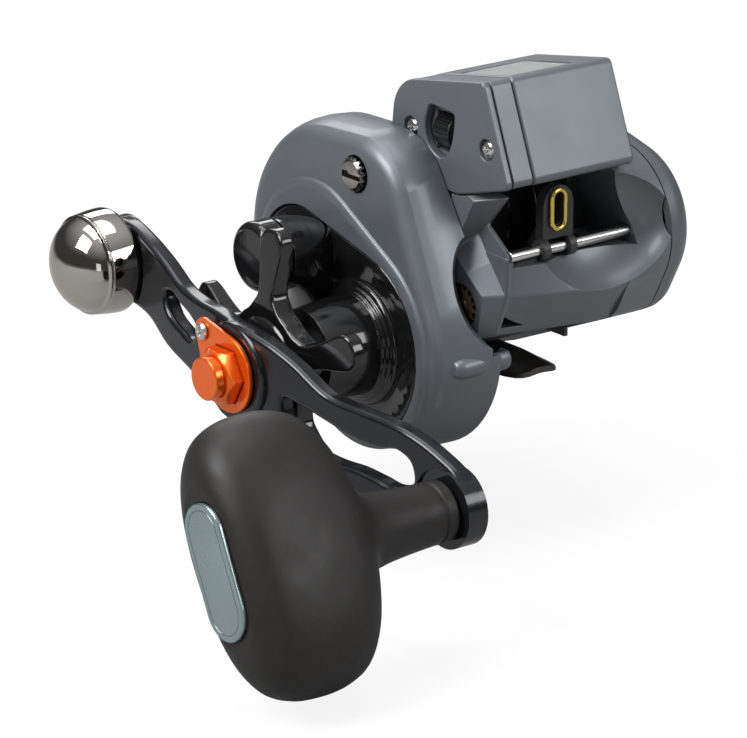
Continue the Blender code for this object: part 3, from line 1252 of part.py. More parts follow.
def make_tension_knob():
    """Ribbed cap knob over the tension boss."""
    x_in, x_out = TENSION_KNOB_X
    edge = 2 * GAP
    radius = TENSION_KNOB_RADIUS
    knob = turned([(x_out, 0.0), (x_out, radius - 2 * edge), (x_out + edge, radius - edge / 2),
                   (x_out + 2 * edge, radius), (x_in, radius), (x_in, TENSION_KNOB_BORE),
                   (TENSION_KNOB_FLOOR_X, TENSION_KNOB_BORE), (TENSION_KNOB_FLOOR_X, 0.0)], SPOOL_AXIS)
    ribs = 14
    for index in range(ribs):
        angle = 2 * pi * index / ribs
        centre = (SPOOL_AXIS[0] + radius * cos(angle) * 1.03,
                  SPOOL_AXIS[1] + radius * sin(angle) * 1.03)
        cut(knob, rod(x_out + 3 * edge, x_in - edge, 2 * GAP, centre, 6))
    place(reorigin(settle(knob), (x_in, *SPOOL_AXIS)), "tension_knob", GLOSS_BLACK)


# Spool
SPOOL_X = (-0.0112, 0.0122)
FLANGE_THICKNESS = 0.0012
SPOOL_SHAFT_X = (-0.0426, 0.0240)
CLICK_GEAR_X = (0.0155, 0.0167)
CLICK_TEETH = 12
CLICK_MODULE = 0.0009


def make_spool():
    """Spool with thin flanges and a shallow arbor, its shaft and its click wheel."""
    x_in, x_out = SPOOL_X
    rim = FLANGE_THICKNESS
    bore = SPOOL_SHAFT_RADIUS + FIT
    spool = turned([
        (x_in, bore), (x_in, SPOOL_HUB_RADIUS), (x_in + rim, SPOOL_HUB_RADIUS + rim),
        (x_in + rim, SPOOL_ARBOR_RADIUS - rim), (x_in, SPOOL_ARBOR_RADIUS), (x_in, SPOOL_RADIUS - rim / 4),
        (x_in + rim / 4, SPOOL_RADIUS), (x_in + rim * 0.75, SPOOL_RADIUS),
        (x_in + rim, SPOOL_RADIUS - rim / 4),
        (x_in + 1.6 * rim, SPOOL_ARBOR_RADIUS), (x_out - 1.6 * rim, SPOOL_ARBOR_RADIUS),
        (x_out - rim, SPOOL_RADIUS - rim / 4), (x_out - rim * 0.75, SPOOL_RADIUS),
        (x_out - rim / 4, SPOOL_RADIUS),
        (x_out, SPOOL_RADIUS - rim / 4), (x_out, SPOOL_ARBOR_RADIUS), (x_out - rim, SPOOL_ARBOR_RADIUS - rim),
        (x_out - rim, SPOOL_HUB_RADIUS + rim), (x_out, SPOOL_HUB_RADIUS), (x_out, bore),
    ], SPOOL_AXIS, FINE, closed=True)
    place(reorigin(spool, (0.0, *SPOOL_AXIS)), "spool", SPOOL_METAL)
    shaft = rod(*SPOOL_SHAFT_X, SPOOL_SHAFT_RADIUS, SPOOL_AXIS, COARSE)
    place(reorigin(shaft, (0.0, *SPOOL_AXIS)), "spool_shaft", STEEL)
    click_x = (CLICK_GEAR_X[1], CLICK_GEAR_X[0])
    gear("click_gear", CLICK_TEETH, CLICK_MODULE, 0.0, click_x, bore, SPOOL_AXIS, BRASS)


# Worm shaft
WORM_X = (-0.0109, 0.0128)
WORM_SHAFT_X = (-0.0157, 0.0158)
WORM_GROOVE_DEPTH = 0.0005
WORM_PITCH = 0.0050
WORM_LEAD = radians(11.0)


def make_worm_shaft():
    """Worm with a crossing double groove and a journal at each end."""
    worm = turned([(WORM_SHAFT_X[0], 0.0), (WORM_SHAFT_X[0], WORM_JOURNAL), (WORM_X[0], WORM_JOURNAL),
                   (WORM_X[0], WORM_RADIUS), (WORM_X[1], WORM_RADIUS), (WORM_X[1], WORM_JOURNAL),
                   (WORM_SHAFT_X[1], WORM_JOURNAL), (WORM_SHAFT_X[1], 0.0)], WORM_AXIS, COARSE)
    span = WORM_X[1] - WORM_X[0] - WORM_PITCH
    turns = round(span / WORM_PITCH)
    for hand in (1.0, -1.0):
        curve = bpy.data.curves.new("groove", "CURVE")
        curve.dimensions = "3D"
        curve.bevel_depth = WORM_GROOVE_DEPTH
        curve.bevel_resolution = 0
        curve.use_fill_caps = True
        spline = curve.splines.new("POLY")
        steps = 6 * turns
        spline.points.add(steps)
        lead = WORM_LEAD if hand > 0 else 0.0
        for index in range(steps + 1):
            angle = hand * 2 * pi * turns * index / steps + lead
            x = WORM_X[0] + WORM_PITCH / 2 + span * index / steps
            reach = WORM_RADIUS + WORM_GROOVE_DEPTH / 4
            spline.points[index].co = (x, reach * cos(angle), reach * sin(angle), 1.0)
        groove = bpy.data.objects.new("groove", curve)
        bpy.context.scene.collection.objects.link(groove)
        groove.location = (0.0, *WORM_AXIS)
        cut(worm, settle(groove))
    place(reorigin(settle(worm), (0.0, *WORM_AXIS)), "worm_shaft", STEEL)


# Line carriage
PAWL_Z = (0.0177, 0.0205)
WEB_HALF_WIDTH = 0.0024
CARRIAGE_LOW = 0.0250
EYELET_X = -0.0004
COLLAR_XS = (-0.0035, 0.0029)
CARRIAGE_WEB_OUTLINE = (
    (-0.0285, 0.0124), (-0.0318, 0.0150), (-0.0346, 0.0236), (-0.0364, 0.0254), (-0.0366, 0.0305),
    (-0.0340, 0.0300), (-0.0300, 0.0240), (-0.0262, 0.0200), (-0.0255, 0.0165),
)


def front_capsule(length, width, x, z, steps=8):
    """Points (x, z) of an upright round ended slot seen from the front."""
    return capsule(length, width, (x, z), pi / 2, steps)


def prism_along_y(outline, y_from, y_to):
    """Extrude (x, z) points along Y."""
    return loft([[(x, y, z) for x, z in outline] for y in (y_from, y_to)])


def make_line_carriage():
    """Carriage that rides worm and rod and carries the eyelet."""
    half = CARRIAGE_HALF_WIDTH
    sleeve = rod(-half, half, SLEEVE_RADIUS, WORM_AXIS)
    web = flat([list(CARRIAGE_WEB_OUTLINE)], -WEB_HALF_WIDTH, WEB_HALF_WIDTH)
    plate_outline = [(-half, CARRIAGE_LOW + GAP), (half, CARRIAGE_LOW + GAP)]
    arc = circle(half, (0.0, CARRIAGE_TOP - half), COARSE)
    plate_outline += [(x, z) for x, z in arc if z >= CARRIAGE_TOP - half]
    plate = prism_along_y(plate_outline, CARRIAGE_FRONT_Y, CARRIAGE_FRONT_Y + CARRIAGE_PLATE)
    join(sleeve, web, plate)
    for x in COLLAR_XS:
        join(sleeve, rod(x - COLLAR_WIDTH / 2, x + COLLAR_WIDTH / 2, COLLAR_RADIUS, ROD_AXIS, COARSE))
    reach = OVERRUN
    between = (COLLAR_XS[0] + COLLAR_WIDTH / 2, COLLAR_XS[1] - COLLAR_WIDTH / 2)
    relief = ROD_RADIUS + 3 * GAP
    cut(sleeve, box((between[0], CARRIAGE_FRONT_Y - reach, CARRIAGE_LOW - reach),
                    (between[1], ROD_AXIS[0] + relief, ROD_AXIS[1] + relief)))
    cut(sleeve, rod(-half - reach, half + reach, ROD_RADIUS + FIT, ROD_AXIS, COARSE))
    cut(sleeve, rod(-half - reach, half + reach, WORM_RADIUS + 2 * FIT, WORM_AXIS, COARSE))
    wire = EYELET_WIRE
    hole = front_capsule(EYELET_LENGTH - 4 * wire, EYELET_WIDTH - 3 * wire, EYELET_X, EYELET_HEIGHT)
    cut(sleeve, prism_along_y(hole, CARRIAGE_FRONT_Y - reach, CARRIAGE_FRONT_Y + CARRIAGE_PLATE + reach))
    cut(sleeve, round_upright(0.0, WORM_AXIS[0], WORM_AXIS[1], 2 * PAWL_Z[1], PAWL_RADIUS + FIT, TINY))
    place(reorigin(settle(sleeve), (0.0, *ROD_AXIS)), "line_carriage", BLACK_FRAME)
    path = front_capsule(EYELET_LENGTH - 2 * wire, EYELET_WIDTH - 2 * wire, EYELET_X, EYELET_HEIGHT)
    place(reorigin(wire_loop(path), (0.0, *ROD_AXIS)), "eyelet_ring", GOLD)
    pawl = round_upright(0.0, WORM_AXIS[0], *PAWL_Z, PAWL_RADIUS, TINY)
    place(reorigin(pawl, (0.0, *ROD_AXIS)), "worm_pawl", BRASS)


def wire_loop(path):
    """Closed round wire through (x, z) points just in front of the carriage plate."""
    curve = bpy.data.curves.new("wire", "CURVE")
    curve.dimensions = "3D"
    curve.bevel_depth = EYELET_WIRE
    curve.bevel_resolution = 2
    spline = curve.splines.new("POLY")
    y = CARRIAGE_FRONT_Y - EYELET_WIRE - GAP / 3
    spline.points.add(len(path) - 1)
    for point, (x, z) in zip(spline.points, path):
        point.co = (x, y, z, 1.0)
    spline.use_cyclic_u = True
    item = bpy.data.objects.new("wire", curve)
    bpy.context.scene.collection.objects.link(item)
    return settle(item)


# Front hood: side pillar, bumper, nose and cheek
HOOD_PILLAR_X = -0.0112
HOOD_ROWS = (
    (-0.0158, ((-0.0253, 0.0095), (-0.0332, 0.0098), (-0.0347, 0.0187), (-0.0297, 0.0224), (-0.0259, 0.0258),
               (-0.0319, 0.0369), (-0.0253, 0.0400))),
    (-0.0122, ((-0.0253, 0.0093), (-0.0337, 0.0095), (-0.0373, 0.0189), (-0.0325, 0.0247), (-0.0289, 0.0294),
               (-0.0369, 0.0380), (-0.0253, 0.0400))),
    (-0.0112, ((-0.0253, 0.0093), (-0.0338, 0.0095), (-0.0376, 0.0187), (-0.0382, 0.0265), (-0.0312, 0.0315),
               (-0.0369, 0.0380), (-0.0253, 0.0400))),
)
BUMPER_ROWS = (
    (-0.0119, ((-0.0257, 0.0094), (-0.0335, 0.0096), (-0.0372, 0.0187), (-0.0376, 0.0262),
               (-0.0257, 0.0262))),
    (-0.0070, ((-0.0257, 0.0094), (-0.0344, 0.0095), (-0.0392, 0.0185), (-0.0386, 0.0262),
               (-0.0257, 0.0262))),
    (-0.0020, ((-0.0257, 0.0094), (-0.0352, 0.0095), (-0.0411, 0.0185), (-0.0394, 0.0262),
               (-0.0257, 0.0262))),
    (0.0040, ((-0.0257, 0.0094), (-0.0364, 0.0095), (-0.0428, 0.0185), (-0.0408, 0.0265), (-0.0257, 0.0265))),
    (0.0100, ((-0.0257, 0.0094), (-0.0376, 0.0095), (-0.0438, 0.0185), (-0.0425, 0.0270), (-0.0257, 0.0270))),
    (0.0160, ((-0.0257, 0.0094), (-0.0380, 0.0098), (-0.0436, 0.0185), (-0.0436, 0.0275), (-0.0257, 0.0275))),
)
SHELF_Z = 0.0243
BAY_FLOOR_Z = 0.0115
BAY_FRONT_Y = -0.0356
BAY_VIEW_OUTLINE = ((-0.0112, SHELF_Z), (0.0178, SHELF_Z), (0.0178, 0.0275), (0.0126, 0.0410),
                    (0.0126, 0.0600),
                    (-0.0112, 0.0600))
SCOOP_CENTRE = (0.0060, -0.0470, 0.0310)
SCOOP_RADII = (0.0170, 0.0120, 0.0140)
NOSE_FLOOR_X = 0.0186
CHEEK_X = (FRAME_PALM_X + GAP, PALM_SEAM_X)


def section(x, points):
    """Ring of points at x."""
    return [(x, y, z) for y, z in points]


def make_front_hood():
    """Hood over the level wind: pillar, bumper with its crease, nose and hollow cheek."""
    hood = loft([section(*row) for row in HOOD_ROWS])
    bumper = loft([section(*row) for row in BUMPER_ROWS])
    cheek = flat([belt(palm_circles())], BAY_PALM_X, PALM_SEAM_X)
    reach = OVERRUN
    high = 3 * SPOOL_AXIS_HEIGHT
    cut(cheek, box((BAY_PALM_X - reach, HOOD_REAR, -high), (CHEEK_X[0], 2 * high, high)))
    hollow = flat([belt(palm_circles(), inset=COVER_WALL)], CHEEK_X[0] - reach, PALM_SEAM_X + reach)
    cut(hollow, box((BAY_PALM_X - 2 * reach, -2 * high, -high), (NOSE_FLOOR_X, HOOD_REAR + GAP, high)))
    cut(cheek, hollow)
    join(hood, bumper, cheek)
    bay_x = (HOOD_PILLAR_X, BAY_PALM_X)
    cut(hood, box((bay_x[0], BAY_FRONT_Y, BAY_FLOOR_Z), (bay_x[1], HOOD_REAR + reach, high)))
    cut(hood, prism_along_y(BAY_VIEW_OUTLINE, -high, HOOD_REAR + reach))
    cut(hood, ellipsoid(SCOOP_CENTRE, SCOOP_RADII))
    rod_bore = ROD_RADIUS + FIT
    cut(hood, rod(ROD_HANDLE_END_X - GAP, ROD_PALM_END_X + GAP, rod_bore, ROD_AXIS, COARSE))
    bushing = WORM_BUSHING_RADIUS + FIT
    bushing_x = WORM_BUSHING_HANDLE_X
    cut(hood, rod(bushing_x[0] + reach, bushing_x[1] - GAP, bushing, WORM_AXIS, COARSE))
    cut(hood, rod(BAY_PALM_X - reach, WORM_BUSHING_PALM_X[1] + GAP, bushing, WORM_AXIS, COARSE))
    pocket_x = WORM_GEAR_X[0] + GAP
    tip = WIND_MODULE * (WIND_WORM_TEETH / 2 + 1) + GAP
    cut(hood, rod(HOOD_BLOCK_X - reach, pocket_x, tip, WORM_AXIS))
    idler_tip = WIND_MODULE * (WIND_IDLER_TEETH / 2 + 1) + GAP
    cut(hood, rod(HOOD_BLOCK_X - reach, pocket_x, idler_tip, IDLER_AXIS))
    seat_for_counter(hood)
    place(settle(hood), "front_hood", GREY_PAINT)
    guide = rod(ROD_HANDLE_END_X, ROD_PALM_END_X, ROD_RADIUS, ROD_AXIS, COARSE)
    place(guide, "guide_rod", STEEL)


# Palm side cover
PALM_COVER_X = PALM_SEAM_X + GAP
PALM_ROWS = ((0.0222, 0.0), (0.0250, 0.0003), (0.0275, 0.0018), (0.0290, 0.0045), (0.0297, 0.0085))
PALM_HOLLOW_X = 0.0278
PALM_BOSS_RADIUS = 0.0052
PALM_BOSS_X = 0.0189
CLICKER_CENTRE = (0.0080, 0.0060)
CLICKER_TRAVEL = 0.0050
CLICKER_WIDTH = 0.0040
CLICKER_HEIGHT = 0.0034
CLICKER_TOP_X = 0.0312


def make_palm_side_cover():
    """Domed cover with the spool bearing's boss and the clicker's slot."""
    cover = loft([ring_at(belt(palm_circles(-inset)), x) for x, inset in PALM_ROWS])
    wall = COVER_WALL
    reach = OVERRUN
    hollow = loft([
        ring_at(belt(palm_circles(), inset=wall), PALM_COVER_X - reach),
        ring_at(belt(palm_circles(), inset=1.4 * wall), PALM_ROWS[1][0]),
        ring_at(belt(palm_circles(), inset=4.2 * wall), PALM_HOLLOW_X),
    ])
    cut(cover, hollow)
    boss = rod(PALM_BOSS_X, PALM_HOLLOW_X + wall / 2, PALM_BOSS_RADIUS, SPOOL_AXIS)
    join(cover, boss)
    bearing = SPOOL_BEARING_RADIUS + FIT
    cut(cover, rod(PALM_BOSS_X - reach, SPOOL_BEARING_PALM_X[1] + GAP, bearing, SPOOL_AXIS))
    cut(cover, rod(PALM_BOSS_X, SPOOL_SHAFT_X[1] + 3 * GAP, 2 * SPOOL_SHAFT_RADIUS, SPOOL_AXIS, COARSE))
    slot = CLICKER_TRAVEL + CLICKER_WIDTH * 0.6
    y, z = CLICKER_CENTRE
    stem = CLICKER_HEIGHT / 2 + GAP
    cut(cover, box((PALM_ROWS[1][0], y - slot / 2 - GAP, z - stem * 0.6),
                   (PALM_FACE_X + reach, y + slot / 2 + GAP, z + stem * 0.6)))
    place(settle(cover), "palm_side_cover", GREY_PAINT)


def make_clicker_button():
    """Slide button on the palm side."""
    y, z = CLICKER_CENTRE
    start = y - CLICKER_TRAVEL / 2
    half = CLICKER_WIDTH / 2
    tall = CLICKER_HEIGHT / 2
    button = box((PALM_FACE_X + GAP, start - half, z - tall), (CLICKER_TOP_X, start + half, z + tall))
    bevel = button.modifiers.new("edges", "BEVEL")
    bevel.width = GAP
    bevel.segments = 2
    button = settle(button)
    stem = box((PALM_ROWS[1][0], start - half * 0.6, z - tall * 0.55),
               (PALM_FACE_X + 2 * GAP, start + half * 0.6, z + tall * 0.55))
    join(button, stem)
    place(reorigin(settle(button), (PALM_FACE_X, start, z)), "clicker_button", GLOSS_BLACK)


# Thumb bar between the side walls at the rear
THUMB_BAR_X = (BAY_HANDLE_X + GAP, BAY_PALM_X - GAP)
THUMB_PIVOT = (0.0218, 0.0285)
THUMB_GROOVES = 4
THUMB_GROOVE_START = (0.0212, 0.0341)
THUMB_GROOVE_STEP = (0.0016, 0.0007)
THUMB_OUTLINE = (
    (0.0200, 0.0240), (0.0218, 0.0240), (0.0222, 0.0262), (0.0245, 0.0272), (0.0272, 0.0274),
    (0.0280, 0.0284),
    (0.0276, 0.0300), (0.0255, 0.0318), (0.0225, 0.0332), (0.0196, 0.0338), (0.0188, 0.0330),
    (0.0188, 0.0315),
    (0.0200, 0.0285),
)


def make_thumb_bar():
    """Clutch bar with a ribbed pad, across the back of the spool."""
    bar = flat([list(THUMB_OUTLINE)], *THUMB_BAR_X, edge=GAP)
    for index in range(THUMB_GROOVES):
        y = THUMB_GROOVE_START[0] + THUMB_GROOVE_STEP[0] * index
        z = THUMB_GROOVE_START[1] - THUMB_GROOVE_STEP[1] * index
        groove = rod(THUMB_BAR_X[0] + OVERRUN, THUMB_BAR_X[1] - OVERRUN, 2 * GAP, (y, z), 6)
        cut(bar, groove)
    place(reorigin(settle(bar), (0.0, *THUMB_PIVOT)), "thumb_bar", BLACK_FRAME)


# Clutch yoke in the pinion's groove
YOKE_X = (-0.0174, -0.0165)
YOKE_OUTLINE = ((-0.0045, 0.0186), (0.0030, 0.0180), (0.0120, 0.0186), (0.0120, 0.0282), (0.0030, 0.0288),
                (-0.0045, 0.0282))


def make_clutch_yoke():
    """Forked plate that sits in the pinion's groove and slides on two pins."""
    yoke = flat([list(YOKE_OUTLINE)], *YOKE_X)
    reach = OVERRUN
    middle = (SPOOL_AXIS[0] - 2 * reach + 0.8 * reach, SPOOL_AXIS[1])
    slot = capsule(4 * reach, 2 * PINION_NECK_RADIUS + 2 * GAP, middle, 0.0)
    cut(yoke, flat([slot], YOKE_X[0] - reach, YOKE_X[1] + reach))
    for z in YOKE_PIN_ZS:
        cut(yoke, rod(YOKE_X[0] - reach, YOKE_X[1] + reach, YOKE_PIN_RADIUS + FIT, (YOKE_PIN_Y, z), TINY))
    place(reorigin(settle(yoke), (YOKE_X[1], *SPOOL_AXIS)), "clutch_yoke", STEEL)


# Counter
COUNTER_COVER_X = COUNTER_END_X + COUNTER_END_THICKNESS + COUNTER_BASE_WIDTH + 2 * GAP
COUNTER_BASE_X = (COUNTER_END_X + COUNTER_END_THICKNESS + GAP, COUNTER_COVER_X - GAP)
POCKET_OUTLINE = ((-0.0185, 0.0532), (-0.0262, 0.0527), (-0.0258, 0.0480), (-0.0243, 0.0445),
                  (-0.0223, 0.0430),
                  (-0.0196, 0.0438), (-0.0176, 0.0456), (-0.0168, 0.0490))
COUNTER_SCREWS = (("counter_screw_rear", (-0.0129, 0.0473)), ("counter_screw_front", (-0.0357, 0.0478)))
SCREW_HEAD = 0.0017
SCREW_RECESS = 0.0021
SCREW_STEM = 0.0009
SCREW_HEAD_X = -0.0154
WHEEL_AXIS = (-0.0250, 0.0502)
WHEEL_RADIUS = 0.0064
WHEEL_WIDTH = 0.0042
WHEEL_XS = (("hundreds_wheel", -0.0050), ("tens_wheel", 0.0), ("units_wheel", 0.0050))
AXLE_RADIUS = 0.0010
AXLE_X = (-0.0108, 0.0104)
RESET_CENTRE = (-0.0121, -0.0214, 0.0480)
RESET_RADIUS = 0.0036
RESET_HALF_WIDTH = 0.0024
RESET_PIN = 0.0008
WINDOW_X = 0.0076
WINDOW_SPAN = (0.0036, 0.0172)
LENS_THICKNESS = 0.0009


def roof_frame():
    """Matrix whose Y runs down the counter's roof from its front edge and Z stands out of it."""
    front = Vector((0.0, *COUNTER_TOP_FRONT))
    rear = Vector((0.0, *COUNTER_TOP_REAR))
    along = (rear - front).normalized()
    across = Vector((1.0, 0.0, 0.0))
    out = across.cross(along)
    turn = Matrix((across, along, out)).transposed().to_4x4()
    return Matrix.Translation(front) @ turn


def make_counter():
    """Counter housing in three slices, with window, wheels, axle, screws and reset wheel."""
    reach = OVERRUN
    wall = COUNTER_WALL
    outline = counter_outline()
    end = flat([outline], COUNTER_END_X, COUNTER_END_X + COUNTER_END_THICKNESS, edge=GAP)
    cut(end, flat([smooth_loop(POCKET_OUTLINE, 3)], COUNTER_END_X - reach, COUNTER_BASE_X[0]))
    base = flat([counter_outline(GAP)], *COUNTER_BASE_X)
    x, y, z = RESET_CENTRE
    room = RESET_RADIUS + GAP
    side = RESET_HALF_WIDTH + GAP
    cut(base, box((COUNTER_BASE_X[0] - reach, y - side, z - room),
                  (COUNTER_BASE_X[1] + reach, y + side, z + room)))
    pin = round_along_y(x, z, y - side - 5 * GAP, y + side + 5 * GAP, RESET_PIN + FIT)
    cut(base, pin)
    spool_room = SPOOL_SWEEP + 2 * GAP
    cut(base, rod(COUNTER_BASE_X[0] - reach, COUNTER_BASE_X[1] + reach, spool_room, SPOOL_AXIS, FINE))
    cut(base, rod(AXLE_X[0], COUNTER_BASE_X[1] + reach, AXLE_RADIUS + FIT, WHEEL_AXIS, TINY))
    for name, axis in COUNTER_SCREWS:
        cut(end, rod(COUNTER_END_X - reach, SCREW_HEAD_X + GAP, SCREW_RECESS, axis, COARSE))
        cut(end, rod(COUNTER_END_X, COUNTER_BASE_X[0], SCREW_STEM + FIT, axis, TINY))
        screw_end = COUNTER_BASE_X[1] - 2 * GAP
        cut(base, rod(COUNTER_BASE_X[0] - reach, screw_end, SCREW_STEM + FIT, axis, TINY))
        make_counter_screw(name, axis, screw_end - GAP)
    place(settle(end), "counter_end_cover", GREY_PAINT)
    place(settle(base), "counter_base", GREY_PAINT)
    cover = flat([outline], COUNTER_COVER_X, COUNTER_RIGHT_X, edge=GAP)
    inside = flat([counter_outline(wall)], COUNTER_COVER_X - reach, COUNTER_RIGHT_X - wall)
    cut(inside, rod(COUNTER_COVER_X - 2 * reach, COUNTER_RIGHT_X, spool_room + wall, SPOOL_AXIS, FINE))
    cut(cover, inside)
    cut(cover, rod(COUNTER_COVER_X - reach, COUNTER_RIGHT_X + reach, spool_room, SPOOL_AXIS, FINE))
    roof = roof_frame()
    low, high = WINDOW_SPAN
    hole = box((-WINDOW_X, low, -2 * wall), (WINDOW_X, high, wall))
    rebate = box((-WINDOW_X - 2 * GAP, low - 2 * GAP, -LENS_THICKNESS - GAP),
                 (WINDOW_X + 2 * GAP, high + 2 * GAP, wall))
    lens = box((-WINDOW_X - GAP, low - GAP, -LENS_THICKNESS), (WINDOW_X + GAP, high + GAP, 0.0))
    for item in (hole, rebate, lens):
        reshape(item, roof)
    cut(cover, hole, rebate)
    place(settle(cover), "counter_cover", GREY_PAINT)
    place(lens, "counter_lens", CLEAR)
    axle = rod(*AXLE_X, AXLE_RADIUS, WHEEL_AXIS, TINY)
    place(axle, "counter_axle", STEEL)
    for name, middle in WHEEL_XS:
        half = WHEEL_WIDTH / 2
        wheel = ring(middle - half, middle + half, WHEEL_RADIUS, AXLE_RADIUS + FIT, WHEEL_AXIS)
        place(reorigin(wheel, (middle, *WHEEL_AXIS)), name, DIGIT)
    make_reset_wheel()


def make_counter_screw(name, axis, end):
    """Cross head screw at the bottom of its recess."""
    stem = SCREW_STEM
    seat = SCREW_HEAD_X + GAP / 2
    screw = turned([(SCREW_HEAD_X, 0.0), (SCREW_HEAD_X, SCREW_HEAD), (seat, SCREW_HEAD), (seat, stem),
                    (end, stem), (end, 0.0)], axis, COARSE)
    head = turned([(SCREW_HEAD_X - 2 * GAP, 0.0), (SCREW_HEAD_X - 2 * GAP, SCREW_HEAD * 0.7),
                   (SCREW_HEAD_X, SCREW_HEAD), (seat, SCREW_HEAD), (seat, 0.0)], axis, COARSE)
    join(screw, head)
    cross_slot(screw, SCREW_HEAD_X - 2 * GAP, axis, SCREW_HEAD * 0.5, 1.5 * GAP)
    place(settle(screw), name, STEEL)


def round_along_y(x, z, y_from, y_to, radius, steps=TINY):
    """A plain round bar along Y."""
    item = rod(y_from, y_to, radius, (0.0, 0.0), steps)
    return reshape(item, Matrix.Translation((x, 0.0, z)) @ Matrix.Rotation(pi / 2, 4, "Z"))


def make_reset_wheel():
    """Ribbed thumb wheel that zeroes the counter."""
    x, y, z = RESET_CENTRE
    wheel = round_along_y(x, z, y - RESET_HALF_WIDTH, y + RESET_HALF_WIDTH, RESET_RADIUS, MEDIUM)
    reach = RESET_HALF_WIDTH + 4 * GAP
    join(wheel, round_along_y(x, z, y - reach, y + reach, RESET_PIN))
    ribs = 12
    for index in range(ribs):
        angle = 2 * pi * index / ribs
        notch = RESET_RADIUS * 1.04
        place_x, place_z = x + notch * cos(angle), z + notch * sin(angle)
        cut(wheel, round_along_y(place_x, place_z, y - reach, y + reach, GAP, 6))
    place(reorigin(settle(wheel), RESET_CENTRE), "reset_wheel", BLACK_FRAME)


def build():
    """Make every piece in turn."""
    make_main_frame()
    make_reel_foot()
    make_foot_screws()
    make_handle_side_cover()
    make_side_plate_thumbscrew()
    make_bezel_insert()
    make_washers()
    make_main_shaft()
    make_gear_train()
    make_handle_arm()
    make_handle_nut()
    make_nut_retainer()
    make_retainer_screw()
    make_counterweight()
    make_knob()
    make_star_drag()
    make_tension_knob()
    make_spool()
    make_worm_shaft()
    make_line_carriage()
    make_front_hood()
    make_palm_side_cover()
    make_clicker_button()
    make_thumb_bar()
    make_clutch_yoke()
    make_counter()


build()
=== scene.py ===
"""Looks of a low profile line counter reel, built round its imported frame.

Metres and +Z up. +X runs to the palm side, so the handle is at -X, and the line
leaves at -Y. Outlines are (y, z) points, and profiles are (x, radius) points.
"""

import json
import logging
from dataclasses import dataclass
from enum import Enum
from math import atan2, cos, dist, hypot, pi, radians, sin, sqrt
from typing import Callable, Sequence

import bmesh
import bpy
from mathutils import Matrix, Vector

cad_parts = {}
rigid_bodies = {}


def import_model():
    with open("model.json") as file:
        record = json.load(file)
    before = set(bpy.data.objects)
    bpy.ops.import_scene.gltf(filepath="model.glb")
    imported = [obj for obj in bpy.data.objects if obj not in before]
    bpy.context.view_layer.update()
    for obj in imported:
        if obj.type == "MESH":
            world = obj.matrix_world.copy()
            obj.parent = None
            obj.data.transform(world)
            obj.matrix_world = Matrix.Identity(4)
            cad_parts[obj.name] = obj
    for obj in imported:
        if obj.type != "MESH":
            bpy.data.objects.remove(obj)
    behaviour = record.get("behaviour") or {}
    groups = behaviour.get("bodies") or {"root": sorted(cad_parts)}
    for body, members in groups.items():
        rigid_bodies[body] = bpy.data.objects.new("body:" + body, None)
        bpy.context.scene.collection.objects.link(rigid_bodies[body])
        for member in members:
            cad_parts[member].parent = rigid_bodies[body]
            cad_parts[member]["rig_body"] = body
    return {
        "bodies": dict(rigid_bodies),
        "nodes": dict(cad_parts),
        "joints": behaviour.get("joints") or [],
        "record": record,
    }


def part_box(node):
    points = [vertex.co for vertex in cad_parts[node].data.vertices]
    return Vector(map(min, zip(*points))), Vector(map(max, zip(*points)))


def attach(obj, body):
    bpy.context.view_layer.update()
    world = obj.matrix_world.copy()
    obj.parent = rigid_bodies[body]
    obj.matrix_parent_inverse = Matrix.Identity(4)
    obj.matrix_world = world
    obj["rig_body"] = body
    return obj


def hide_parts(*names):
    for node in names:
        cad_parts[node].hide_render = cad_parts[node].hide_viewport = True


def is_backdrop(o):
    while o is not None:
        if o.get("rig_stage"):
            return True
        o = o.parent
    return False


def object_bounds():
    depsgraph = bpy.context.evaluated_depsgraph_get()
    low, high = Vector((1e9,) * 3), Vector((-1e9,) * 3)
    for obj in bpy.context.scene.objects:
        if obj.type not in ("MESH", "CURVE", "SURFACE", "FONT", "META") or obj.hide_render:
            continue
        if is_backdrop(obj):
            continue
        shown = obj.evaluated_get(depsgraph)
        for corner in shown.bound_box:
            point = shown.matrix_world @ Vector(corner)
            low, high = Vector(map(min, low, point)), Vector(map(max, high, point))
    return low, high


LOG = logging.getLogger("reel")

Pair = tuple[float, float]
Row = tuple[float, ...]
Lobe = tuple[float, float, float]
Item = bpy.types.Object
Tree = bpy.types.NodeTree
Socket = bpy.types.NodeSocket

GAP = 0.0003
HAIR = 0.0001
OVERRUN = 0.003
MERGE = 0.000004
FAR = 0.12

ROUND = 96
SMALL_ROUND = 48

COAT_ROUGHNESS = 0.06
NOISE_SPAN = (0.3, 0.7)
COLOUR_PATCHES = 60.0
FOAM_PATCHES = 900.0
GLOSS_PATCHES = 180.0
# Convex edges are painted lighter in patches: a painted edge highlight, and on the foot also wear.
WORN_AND_LIT_PATCHES = 700.0
WORN_AND_LIT_EDGE = (0.53, 0.62)
EDGE_SAMPLES = 4
GRAIN_DETAIL = 4.0
WHITE = (1.0, 1.0, 1.0, 1.0)


def add_node(tree: Tree, kind: str, operation: str = "", **inputs: float | Row) -> bpy.types.Node:
    """Add a shader node.

    Args:
        tree: the nodes it joins.
        kind: its type, without the common first part.
        operation: what a Math node does.
        inputs: input values, by the input's name in small letters.

    Returns:
        The node.
    """
    made = tree.nodes.new(f"ShaderNode{kind}")
    if operation:
        made.operation = operation
    for name, value in inputs.items():
        made.inputs[name.replace("_", " ").title()].default_value = value
    return made


def link(tree: Tree, *pairs: tuple[Socket, Socket]) -> None:
    """Link each pair's first socket to its second."""
    for start, end in pairs:
        tree.links.new(start, end)


